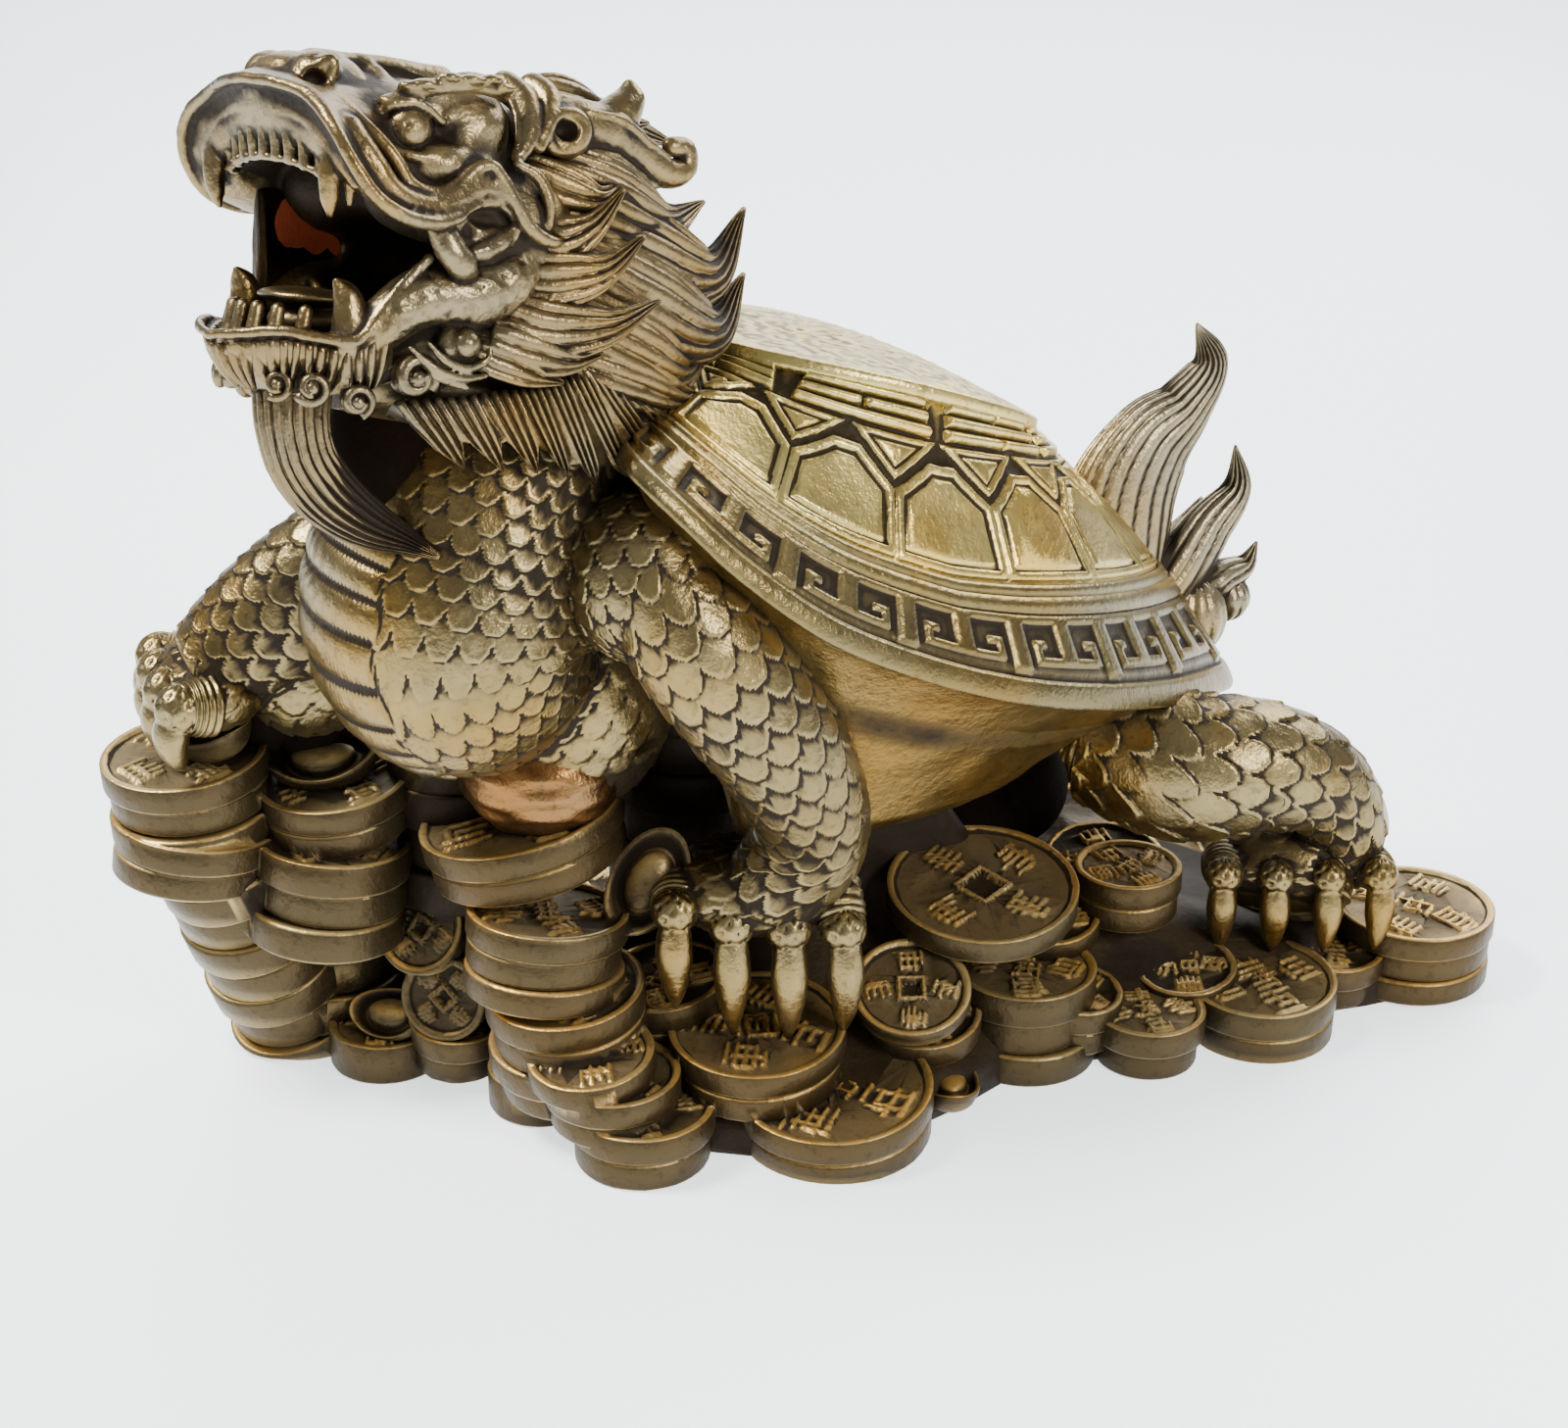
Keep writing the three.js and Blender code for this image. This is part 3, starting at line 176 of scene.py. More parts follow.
def sweep(path, sizes, up=(0, 0, 1), around=24, along=24, relief=None):
    """Solid along a smooth path. Each size is [half width, half thickness], and up is the direction that the
    thickness is measured in. relief(u, v) lifts the surface, where u is the share of a turn and v the share
    of the way along."""
    v = np.linspace(0, 1, along)
    near = 1e-3
    middle = spline(path, v)
    tangent = unit(spline(path, np.minimum(v + near, 1)) - spline(path, np.maximum(v - near, 0)))
    across = unit(np.cross(tangent, up))
    over = np.cross(across, tangent)
    size = np.maximum(spline(sizes, v, even=True), 0.02)
    turn, share = np.meshgrid(np.arange(around) / around, v)
    angle = turn * 2 * np.pi
    flat = (size[:, :1] * np.cos(angle))[..., None] * across[:, None]
    tall = (size[:, 1:2] * np.sin(angle))[..., None] * over[:, None]
    rows = middle[:, None] + flat + tall
    if relief:
        rows = rows + sheet_normals(rows) * relief(turn, share)[..., None]
    return skin(rows)


def ball(centre, radii, around=32, rows=18, axes=np.eye(3), relief=None):
    """Ball or ellipsoid with its poles on the last axis, where relief's v is 0 at the positive one."""
    lat, lon = np.meshgrid(np.linspace(0.02, 0.98, rows), np.arange(around) / around, indexing="ij")
    a, b = lat * np.pi, lon * 2 * np.pi
    local = np.stack([np.sin(a) * np.cos(b), np.sin(a) * np.sin(b), np.cos(a)], -1)
    grid = (local * radii) @ np.asarray(axes) + np.asarray(centre, float)
    if relief:
        grid = grid + sheet_normals(grid) * relief(lon, lat)[..., None]
    return skin(grid)


def scales(a, b, rise=0.9):
    """Overlapping round scales. a counts scales across and b counts rows towards the tips."""
    height = np.zeros(np.broadcast(a, b).shape)
    for back in (0, 1):
        row = np.floor(b) - back
        x = a + 0.5 * (row % 2)
        x = 2 * np.abs(x - np.round(x))
        y = b - row
        tip = 1.02 + 0.7 * (1 - x**2.6)
        plate = (0.32 + 0.3 * y) * ramp(-0.02, 0.07, tip - y)
        edge = 0.1 * ramp(0.2, 0.05, np.abs(tip - y - 0.1))
        height = np.maximum(height, plate + edge)
    return rise * height


def strands(u, count, depth=0.6):
    """Grooves between strands of hair, as a height that falls to -depth in each groove."""
    return depth * (np.abs(np.sin(u * count * np.pi)) ** 0.6 - 1)


def scaly_ball(centre, radii, around, rows, count, lines, rise, axes=np.eye(3)):
    """Ball with count scales round it and lines of them from pole to pole."""
    return ball(centre, radii, around, rows, axes, lambda u, v: scales(u * count, v * lines, rise))


def hairy_ball(centre, radii, around, rows, count, depth=0.5, axes=np.eye(3)):
    return ball(centre, radii, around, rows, axes, lambda u, v: strands(u, count, depth))


# Objects
def mesh_object(name, corners, triangles):
    mesh = bpy.data.meshes.new(name)
    mesh.vertices.add(len(corners))
    mesh.vertices.foreach_set("co", np.ascontiguousarray(corners, np.float32).ravel())
    mesh.loops.add(triangles.size)
    mesh.loops.foreach_set("vertex_index", np.ascontiguousarray(triangles, np.int32).ravel())
    mesh.polygons.add(len(triangles))
    mesh.polygons.foreach_set("loop_start", np.arange(0, triangles.size, 3, dtype=np.int32))
    mesh.update(calc_edges=True)
    obj = bpy.data.objects.new(name, mesh)
    bpy.context.scene.collection.objects.link(obj)
    return obj


def arrays(mesh):
    corners = np.empty(len(mesh.vertices) * 3, np.float32)
    mesh.vertices.foreach_get("co", corners)
    mesh.calc_loop_triangles()
    triangles = np.empty(len(mesh.loop_triangles) * 3, np.int32)
    mesh.loop_triangles.foreach_get("vertices", triangles)
    return corners.reshape(-1, 3).astype(float), triangles.reshape(-1, 3)


def evaluated(obj):
    """Mesh of an object with its modifiers applied. The object is removed."""
    result = bpy.data.meshes.new_from_object(obj.evaluated_get(bpy.context.evaluated_depsgraph_get()))
    bpy.data.objects.remove(obj)
    return result


def joined(solids):
    """One closed mesh of many overlapping ones."""
    first = mesh_object("first", *solids[0])
    if len(solids) == 1:
        return arrays(evaluated(first))
    others = bpy.data.collections.new("others")
    bpy.context.scene.collection.children.link(others)
    for solid in solids[1:]:
        obj = mesh_object("other", *solid)
        bpy.context.scene.collection.objects.unlink(obj)
        others.objects.link(obj)
    union = first.modifiers.new("union", "BOOLEAN")
    union.operation = "UNION"
    union.operand_type = "COLLECTION"
    union.collection = others
    union.solver = "MANIFOLD"
    result = arrays(evaluated(first))
    for obj in list(others.objects):
        bpy.data.objects.remove(obj)
    bpy.data.collections.remove(others)
    return result


def neighbour_means(count, triangles):
    """Function that gives the mean of a value over the neighbours of each corner."""
    a = np.concatenate([triangles[:, 0], triangles[:, 1], triangles[:, 2]])
    b = np.concatenate([triangles[:, 1], triangles[:, 2], triangles[:, 0]])
    degree = np.maximum(np.bincount(a, minlength=count) + np.bincount(b, minlength=count), 1)

    def mean(values):
        total = np.bincount(a, values[b], minlength=count) + np.bincount(b, values[a], minlength=count)
        return total / degree

    return mean


# Patina follows how hollow a surface is, which takes a few rounds of smoothing near by and more further off
FINE_ROUNDS = 3
BROAD_ROUNDS = 26
HOLLOWS = ("fine_hollow", "broad_hollow")


def hollows(corners, triangles):
    """Depth in millimetres of each corner under the smoothed surface round it, near by and further off."""
    mean = neighbour_means(len(corners), triangles)
    a, b, c = (corners[triangles[:, k]] for k in range(3))
    face = np.cross(b - a, c - a)
    normal = np.zeros_like(corners)
    for axis in range(3):
        for k in range(3):
            normal[:, axis] += np.bincount(triangles[:, k], face[:, axis], minlength=len(corners))
    normal = unit(normal)
    smooth = corners.copy()
    depths = []
    for rounds in (FINE_ROUNDS, BROAD_ROUNDS):
        for _ in range(rounds):
            smooth = np.stack([mean(smooth[:, axis]) for axis in range(3)], -1)
        depths.append(((smooth - corners) * normal).sum(axis=1))
    return depths


MATERIALS = {}


def piece(name, solids, most, material="brass", roughen=0.12, grain_size=2.2):
    """Piece of the casting with at most so many triangles, from closed meshes in drawn millimetres."""
    corners, triangles = joined(solids)
    if len(triangles) > most:
        obj = mesh_object(name, corners, triangles)
        thin = obj.modifiers.new("thin", "DECIMATE")
        thin.ratio = most / len(triangles)
        corners, triangles = arrays(evaluated(obj))
    depths = hollows(corners, triangles)
    centre = corners.mean(axis=0)
    corners = corners + unit(corners - centre) * (grain(corners, grain_size) * roughen * 0.5)[:, None]
    corners[:, 2] = np.maximum(corners[:, 2], DRAWN_MIDDLE[2])
    obj = mesh_object(name, to_scene(corners), triangles)
    obj.data.polygons.foreach_set("use_smooth", np.ones(len(triangles), bool))
    for label, depth in zip(HOLLOWS, depths):
        layer = obj.data.attributes.new(label, "FLOAT", "POINT")
        layer.data.foreach_set("value", depth.astype(np.float32))
    obj.data.validate()
    obj.data.materials.append(MATERIALS[material])
    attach(obj, "root")
    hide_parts(NODE)


# Brass: warm gold where it is rubbed, dark brown patina in the hollows, and the same dark brown for painted
# shade
BRIGHT_BRASS = (0.25, 0.195, 0.09)
DULL_BRASS = (0.07, 0.05, 0.025)
PATINA_AND_SHADE_COLOUR = (0.014, 0.009, 0.0055)
WARM_TINT = (1.1, 0.87, 0.5)
RED_CLAY = (0.42, 0.085, 0.035)
# How much grooves near by, broad hollows and clouds of grime each count
FINE_SHARE = 2.6
BROAD_SHARE = 0.85
CLOUD_SHARE = 0.25
# Reach of the painted shade in corners, and strength and depth of the bumps, with lengths in metres
CORNER_REACH = 0.02
BUMP_STRENGTH = 0.5
BUMP_DEPTH = 0.0004
# Scales of the noises: clouds, flecks, colour patches and grit
CLOUDS = 90
FLECKS = 520
PATCHES = 28
GRIT = 1500


class Nodes:
    """Shorthand for building one material out of nodes."""

    def __init__(self, name):
        self.material = bpy.data.materials.new(name)
        self.material.use_nodes = True
        self.shader = self.material.node_tree.nodes["Principled BSDF"]
        self.place = self.add("ShaderNodeTexCoord").outputs["Object"]

    def add(self, kind, **values):
        node = self.material.node_tree.nodes.new(kind)
        for key, value in values.items():
            setattr(node, key, value)
        return node

    def plug(self, source, target):
        self.material.node_tree.links.new(source, target)

    def fill(self, socket, value):
        """Sets a socket to a number or a colour, or plugs it in."""
        if isinstance(value, tuple):
            socket.default_value = (*value, 1)
        elif isinstance(value, (int, float)):
            socket.default_value = value
        else:
            self.plug(value, socket)

    def maths(self, operation, *values, clamp=False):
        node = self.add("ShaderNodeMath", operation=operation, use_clamp=clamp)
        for socket, value in zip(node.inputs, values):
            self.fill(socket, value)
        return node.outputs[0]

    def line(self, value, gain, start):
        """gain times the value plus start, kept from 0 to 1."""
        return self.maths("MULTIPLY_ADD", value, gain, start, clamp=True)

    def ramp(self, source, low, high, falling=False):
        node = self.add("ShaderNodeValToRGB")
        shades = (1, 0) if falling else (0, 1)
        for element, position, shade in zip(node.color_ramp.elements, (low, high), shades):
            element.position = position
            element.color = (shade, shade, shade, 1)
        self.plug(source, node.inputs["Fac"])
        return node.outputs["Color"]

    def blend(self, factor, first, last):
        node = self.add("ShaderNodeMix", data_type="RGBA")
        self.plug(factor, node.inputs["Factor"])
        self.fill(node.inputs[6], first)
        self.fill(node.inputs[7], last)
        return node.outputs[2]

    def noise(self, scale, detail=4.0):
        node = self.add("ShaderNodeTexNoise")
        for label, value in (("Scale", scale), ("Detail", detail), ("Roughness", 0.55)):
            node.inputs[label].default_value = value
        self.plug(self.place, node.inputs["Vector"])
        return node.outputs["Fac"]

    def away_from(self, centre):
        """Distance in metres from a drawn point."""
        node = self.add("ShaderNodeVectorMath", operation="DISTANCE")
        self.plug(self.place, node.inputs[0])
        node.inputs[1].default_value = to_scene(centre)
        return node.outputs["Value"]

    def hollow(self, cloud):
        """How hollow the surface is, with clouds in it: above 0 in grooves and below 0 on ridges."""
        fine, broad = (self.add("ShaderNodeAttribute", attribute_name=label).outputs["Fac"]
                       for label in HOLLOWS)
        hollow = self.maths("ADD", self.maths("MULTIPLY", fine, FINE_SHARE),
                            self.maths("MULTIPLY", broad, BROAD_SHARE))
        return self.maths("ADD", hollow,
                          self.maths("MULTIPLY", self.maths("SUBTRACT", cloud, 0.5), CLOUD_SHARE))

    def corners(self):
        """1 deep in a corner and 0 in the open, from ambient occlusion; it paints shade into corners."""
        node = self.add("ShaderNodeAmbientOcclusion", samples=8)
        node.inputs["Distance"].default_value = CORNER_REACH
        return self.ramp(node.outputs["AO"], 0.12, 0.62, falling=True)

    def level(self):
        """1 on level faces and 0 on upright ones."""
        apart = self.add("ShaderNodeSeparateXYZ")
        self.plug(self.add("ShaderNodeNewGeometry").outputs["Normal"], apart.inputs[0])
        return self.ramp(self.maths("ABSOLUTE", apart.outputs["Z"]), 0.35, 0.8)


def brass_material(name, bright=BRIGHT_BRASS, dull=DULL_BRASS, shade=1.0, soak=1.0, wear=0.42, sides=1.0,
                   shine=1.0, painted_shade_spots=(), clay=()):
    """Antiqued brass. wear is how far the ridges are rubbed bright, soak how far dark patina fills the
    hollows, shade how dark the painted shade in the corners is, sides how bright upright faces stay under
    their painted shade and shine how metallic the surface is. painted_shade_spots and clay list black spots
    of painted shade and red spots of clay as (centre, radius)."""
    nodes = Nodes(name)
    maths, line, ramp, blend = nodes.maths, nodes.line, nodes.ramp, nodes.blend
    cloud, fleck = nodes.noise(CLOUDS), nodes.noise(FLECKS, 3)
    hollow = nodes.hollow(cloud)
    patina_and_painted_shade = maths("MULTIPLY", line(hollow, 2.5 * soak, 0.15 * soak), 1.9, clamp=True)
    # Painted shade: corners found by ambient occlusion are darkened towards the patina colour, as far as
    # shade says.
    patina_and_painted_shade = maths("MAXIMUM", patina_and_painted_shade, maths("MULTIPLY", nodes.corners(), shade))
    # Painted shade: black spots that stand in for shadow round given points.
    for centre, radius in painted_shade_spots:
        patina_and_painted_shade = maths("MAXIMUM", patina_and_painted_shade, line(nodes.away_from(centre), -0.5 / UNIT, 0.5 * radius))
    worn = line(hollow, -1.8, wear)
    worn = maths("MULTIPLY", worn, maths("MULTIPLY_ADD", ramp(cloud, 0.3, 0.7), 0.5, 0.5))
    # Painted shade: upright faces keep less of the rubbed gold, down to the share sides.
    lit = maths("MULTIPLY_ADD", nodes.level(), 1 - sides, sides)
    worn = maths("MULTIPLY", worn, lit)
    warm = tuple(value * share for value, share in zip(bright, WARM_TINT))
    gold = blend(ramp(nodes.noise(PATCHES), 0.4, 0.64), bright, warm)
    colour = blend(line(worn, 0.85, 0.2), dull, gold)
    # Painted shade: upright faces are darkened towards the patina colour, down to the share sides.
    colour = blend(lit, PATINA_AND_SHADE_COLOUR, colour)
    colour = blend(maths("MULTIPLY", ramp(fleck, 0.56, 0.7), 0.35), colour, PATINA_AND_SHADE_COLOUR)
    colour = blend(maths("MULTIPLY", patina_and_painted_shade, 0.94), colour, PATINA_AND_SHADE_COLOUR)
    metal = maths("MULTIPLY_ADD", patina_and_painted_shade, -0.55 * shine, shine)
    rough = maths("MULTIPLY_ADD", patina_and_painted_shade, 0.26, maths("MULTIPLY_ADD", cloud, 0.25, 0.65 - 0.45 * shine))
    for centre, radius in clay:
        ragged = maths("MULTIPLY", maths("SUBTRACT", cloud, 0.5), 0.9 * radius * UNIT)
        red = maths("LESS_THAN", maths("ADD", ragged, nodes.away_from(centre)), radius * UNIT)
        colour = blend(red, colour, RED_CLAY)
        metal = maths("MULTIPLY", metal, maths("SUBTRACT", 1.0, red))
        rough = maths("MAXIMUM", rough, maths("MULTIPLY", red, 0.8))
    bump = nodes.add("ShaderNodeBump")
    bump.inputs["Strength"].default_value = BUMP_STRENGTH
    bump.inputs["Distance"].default_value = BUMP_DEPTH
    nodes.plug(maths("ADD", fleck, maths("MULTIPLY", nodes.noise(GRIT, 2), 0.4)), bump.inputs["Height"])
    for label, value in (("Base Color", colour), ("Metallic", metal), ("Roughness", rough),
                         ("Normal", bump.outputs["Normal"]), ("Specular IOR Level", 0.02 + 0.13 * shine)):
        nodes.fill(nodes.shader.inputs[label], value)
    MATERIALS[name] = nodes.material


# Camera at the photograph's view, floor and soft light
CAMERA_AZIMUTH = 62.0
CAMERA_ELEVATION = 24.5
CAMERA_DISTANCE = 540.0
CAMERA_TARGET = (4, -8, 75)
CAMERA_LENS = 61.2
SENSOR_WIDTH = 36


def aimed(direction):
    return Vector(direction).to_track_quat("-Z", "Y").to_euler()


def camera():
    a, e = math.radians(CAMERA_AZIMUTH), math.radians(CAMERA_ELEVATION)
    back = np.array([math.sin(a) * math.cos(e), -math.cos(a) * math.cos(e), math.sin(e)])
    data = bpy.data.cameras.new("camera")
    data.lens = CAMERA_LENS
    data.sensor_width = SENSOR_WIDTH
    data.clip_start = 0.01
    obj = bpy.data.objects.new("camera", data)
    obj.location = to_scene(np.array(CAMERA_TARGET) + back * CAMERA_DISTANCE)
    obj.rotation_euler = aimed(-back)
    bpy.context.scene.collection.objects.link(obj)
    bpy.context.scene.camera = obj


# Area lights as name, place in metres, size, power in watts and colour, all aimed at the figure's middle
LAMPS = [
    ("key", (-0.2, -0.6, 0.95), 0.3, 22, (1, 0.98, 0.94)),
    ("side", (0.95, 0.25, 0.6), 0.3, 10, (1, 0.97, 0.92)),
    ("back", (-0.3, 0.9, 0.8), 0.6, 11, (0.92, 0.96, 1)),
    ("window", (-1.15, 0.62, 0.7), 1.2, 16, (0.95, 0.98, 1)),
]
LAMP_AIM = (0, 0, 0.1)
FLOOR_HALF = 6
FLOOR_LOOK = (("Base Color", (0.86, 0.91, 0.94)), ("Roughness", 0.4), ("Emission Color", (0.93, 0.97, 1)),
              ("Emission Strength", 1.5))
SKY_COLOUR = (0.93, 0.96, 1)
SKY_STRENGTH = 0.5


def lamp(name, place, size, power, colour):
    data = bpy.data.lights.new(name, "AREA")
    data.size = size
    data.energy = power
    data.color = colour
    obj = bpy.data.objects.new(name, data)
    obj.location = place
    obj.rotation_euler = aimed(Vector(LAMP_AIM) - Vector(place))
    bpy.context.scene.collection.objects.link(obj)


def studio():
    square = np.array([[-1, -1, 0], [1, -1, 0], [1, 1, 0], [-1, 1, 0]], float) * FLOOR_HALF
    floor = mesh_object("floor", square, np.array([[0, 1, 2], [0, 2, 3]]))
    pale = Nodes("pale_floor")
    for label, value in FLOOR_LOOK:
        pale.fill(pale.shader.inputs[label], value)
    floor.data.materials.append(pale.material)
    world = bpy.data.worlds.new("world")
    world.use_nodes = True
    sky = world.node_tree.nodes["Background"]
    sky.inputs["Color"].default_value = (*SKY_COLOUR, 1)
    sky.inputs["Strength"].default_value = SKY_STRENGTH
    bpy.context.scene.world = world
    for row in LAMPS:
        lamp(*row)


# Shell. Its own frame has w to the left, p to the rear and h away from the ground.
SHELL_PITCH = math.radians(25)
SHELL_CENTRE = np.array([0, 25, 98.0])
SHELL_AXES = np.array([[1, 0, 0], [0, math.cos(SHELL_PITCH), -math.sin(SHELL_PITCH)],
                       [0, math.sin(SHELL_PITCH), math.cos(SHELL_PITCH)]])
# Half of the rim's outline from the rear to the front, as [w, p, h]
RIM_HALF = [[0, 84, 1], [9, 83, 1], [21, 69, 0], [34, 47, -2.6], [46, 20, -5], [51.5, -3, -6.8],
            [53, -28, -7.3], [52, -51, -5.5], [48, -71, 0], [44, -84, 5.6], [37, -93, 10], [24, -90, 11],
            [0, -82, 12]]
RIM = np.array(RIM_HALF + [[-w, p, h] for w, p, h in RIM_HALF[-2:0:-1]], float)
LIP_THICKNESS = 2.6
LIP_INSIDE_Z = 85.0
# Round plate on the top of the shell
DISC_HALF_LENGTH = 38
DISC_HALF_WIDTH = 27
DISC_MIDDLE = -32
DISC_HEIGHT = 38
DISC_CREST = -16
DISC_CURVE_RADIUS = 190
DISC_EDGE = 2.6
DISC_OVERHANG = 0.05
DISC_RISE = 1.5
PEBBLE = 1.5
PEBBLE_HEIGHT = 0.3
# The dome between rim and plate. Places up it are shares of the rise from the one to the other.
FRONT_BULGE = -0.05
REAR_BULGE = 0.1
SCUTES = 14
SCUTE_LOW = 0.4
SCUTE_SHOULDER = 0.66
SCUTE_APEX = 0.83
KEYS = 32
KEY_CELLS = 7
FRET_LOW = 0.07
FRET_HIGH = 0.28
FRET_HEIGHT = 0.8
FRET_GROUND = -0.1
# Plain bands above the fret, as [share of the rise, height]
RIM_BANDS = [[0.287, -0.15], [0.292, 0.9], [0.34, 1.0], [0.346, 0.35], [0.352, 0.35], [0.358, 0.85],
             [0.385, 0.85], [0.391, -0.3], [0.4, -0.6]]
# Groove between the lip and the fret
LIP_GROOVE = [[0.045, 0.05], [0.052, -0.35], [0.062, -0.35]]
SCUTE_GROUND = -0.35
BANDS_LOW = 0.86
BAR_GROUPS = 8
BAR_ROWS = 3
BAR_HEIGHT = 1.7
BAR_GROUND = -0.3
BAR_GAP = 1.6
SKIRT_FLOOR = 59
SKIRT_TUCK = 0.4
SKIRT_CENTRE_Y = 14


def rim_at(turn):
    fine = np.linspace(0, 1, 2001)
    places = spline(RIM, fine, closed=True)
    run = np.concatenate([[0], np.cumsum(np.linalg.norm(np.diff(places, axis=0), axis=1))])
    return spline(RIM, np.interp(turn % 1, run / run[-1], fine), closed=True)


def disc_at(turn, share=1.0):
    angle = turn * 2 * np.pi
    p = DISC_MIDDLE + share * DISC_HALF_LENGTH * np.cos(angle)
    w = share * DISC_HALF_WIDTH * np.sin(angle)
    return np.stack([w, p, DISC_HEIGHT - (p - DISC_CREST) ** 2 / (2 * DISC_CURVE_RADIUS)], -1)


def dome_at(turn, rise):
    rim, disc = rim_at(turn), disc_at(turn)
    rear = np.maximum(np.cos(turn * 2 * np.pi), 0)
    point = mix(rim, disc, rise[..., None])
    bulge = mix(FRONT_BULGE, REAR_BULGE, rear) * np.sin(np.pi * np.clip(rise, 0, 1))
    point[..., 2] = mix(rim[..., 2], disc[..., 2], rise + bulge)
    return point


def shell_to_world(points):
    return points @ SHELL_AXES + SHELL_CENTRE


def spiral_cells():
    """Square spiral that starts at a bottom corner and winds inwards."""
    cells = np.zeros((KEY_CELLS, KEY_CELLS), int)
    last = KEY_CELLS - 1
    i, j, heading = last, 0, 0
    steps = [(-1, 0), (0, 1), (1, 0), (0, -1)]
    cells[i, j] = 1
    for run in (last, last, last - 1, last - 2, 2, 1):
        di, dj = steps[heading % 4]
        for _ in range(run):
            i, j = i + di, j + dj
            cells[i, j] = 1
        heading += 1
    return cells


def edge_places(count, bevel=0.16):
    """Two places in each of count cells of one unit, close to the cell's sides."""
    start = np.arange(count)[:, None] / count
    return (start + np.array([bevel, 1 - bevel]) / count).ravel()


def under_lip(turn):
    return shell_to_world(dome_at(turn, np.zeros(turn.shape))) - SHELL_AXES[2] * LIP_THICKNESS


def shell_skirt():
    """Smooth wall that runs in under the rim down to the belly."""
    turn = np.arange(360) / 360
    lip = under_lip(turn)
    centre = np.stack([np.zeros(turn.shape), np.full(turn.shape, SKIRT_CENTRE_Y), lip[:, 2]], -1)
    rows = []
    for down in np.linspace(1, 0, 26) ** 1.4:
        point = mix(lip, centre, 0.015 + SKIRT_TUCK * down**0.8)
        point[:, 2] = mix(lip[:, 2], SKIRT_FLOOR, down) + 0.5
        rows.append(point)
    return skin(np.stack(rows))


def shell_rim():
    """Bright rolled lip, key fret and the plain bands above it."""
    inner = edge_places(KEY_CELLS)
    turn = (np.arange(KEYS)[:, None] + 0.06 + inner * 0.94).ravel() / KEYS
    cells = np.repeat(spiral_cells(), 2, axis=0)
    cells = np.repeat(cells, 2, axis=1)[::-1]
    keys = np.concatenate([cells if k % 2 else cells[:, ::-1] for k in range(KEYS)], axis=1)
    flat = np.ones(turn.shape)
    lip = [mix(under_lip(turn), np.array([0, SKIRT_CENTRE_Y, LIP_INSIDE_Z]), 0.1)]
    for angle in np.radians(np.linspace(-90, 100, 9)):
        edge = dome_at(turn, flat * (0.03 - 0.05 * math.cos(angle)))
        edge[:, 2] += -LIP_THICKNESS / 2 + (LIP_THICKNESS / 2 + 0.5) * math.sin(angle)
        lip.append(shell_to_world(edge))
    fret = zip(FRET_LOW + inner * (FRET_HIGH - FRET_LOW), keys * FRET_HEIGHT + FRET_GROUND)
    rows = [(share * flat, height * flat) for share, height in [*LIP_GROOVE, *fret, *RIM_BANDS]]
    rise, lift = (np.stack(values) for values in zip(*rows))
    grid = shell_to_world(dome_at(np.broadcast_to(turn, rise.shape), rise))
    grid = grid + sheet_normals(grid) * lift[..., None]
    inside = mix(grid[-1], np.array([0, 30, 90.0]), 0.3)[None]
    return skin(np.concatenate([np.stack(lip), grid, inside]))


def polygon_depth(x, y, half, low, shoulder, apex):
    """Distance inside a house-shaped outline: upright sides, a flat foot and a pointed top."""
    side = half - np.abs(x)
    foot = y - low
    slope = ((apex - y) * half - np.abs(x) * (apex - shoulder)) / np.hypot(half, apex - shoulder)
    top = mix(shoulder, apex, 0.72) - y
    return np.minimum(np.minimum(side, foot), np.minimum(slope, top))


def plate_profile(depth):
    """Raised border, thin groove and flat face of one scute, from its outline inwards."""
    border = ramp(0.1, 0.4, depth) - ramp(1.8, 2.1, depth) * 0.75 + ramp(2.7, 3.2, depth) * 0.65
    return border * 0.9 - 0.3


def scute_relief(turns, rises, wide, tall):
    """House-shaped scutes and the triangles between their tops. wide and tall are the dome's millimetres."""
    cell = turns * SCUTES
    x = (cell - np.floor(cell) - 0.5) * wide / SCUTES
    half = 0.5 * wide / SCUTES
    y = rises * tall
    plate = polygon_depth(x, y, half, SCUTE_LOW * tall, SCUTE_SHOULDER * tall, SCUTE_APEX * tall)
    across = np.abs(cell - np.round(cell)) * wide / SCUTES
    slope = (SCUTE_APEX - SCUTE_SHOULDER) * tall / half
    corner = (y - (SCUTE_SHOULDER + 0.03) * tall - across * slope) / np.hypot(1, slope)
    corner = np.minimum(corner, (0.85 - rises) * tall)
    lift = np.where(plate > 0, plate_profile(plate), SCUTE_GROUND)
    return np.maximum(lift, np.where(corner > 0, plate_profile(corner * 1.5), SCUTE_GROUND))


def bar_relief(turns, rises, wide):
    """Rows of round bars in groups. Every second one is broken in its middle."""
    share = (rises - BANDS_LOW) / (1 - BANDS_LOW) * BAR_ROWS
    row = np.clip(np.floor(share), 0, BAR_ROWS - 1)
    in_bar = share - row
    group = turns * BAR_GROUPS
    number = np.floor(group)
    middle = np.abs(group - number - 0.5) * wide / BAR_GROUPS
    length = 0.5 * wide / BAR_GROUPS - BAR_GAP - 0.4 * row
    bar = np.sin(np.pi * np.clip(in_bar * 1.12 - 0.06, 0, 1)) ** 0.5 * ramp(0, 0.7, length - middle)
    broken = (number + row) % 2 == 1
    bar = np.where(broken, bar * ramp(0.25, 0.7, middle), bar)
    return BAR_GROUND + BAR_HEIGHT * bar


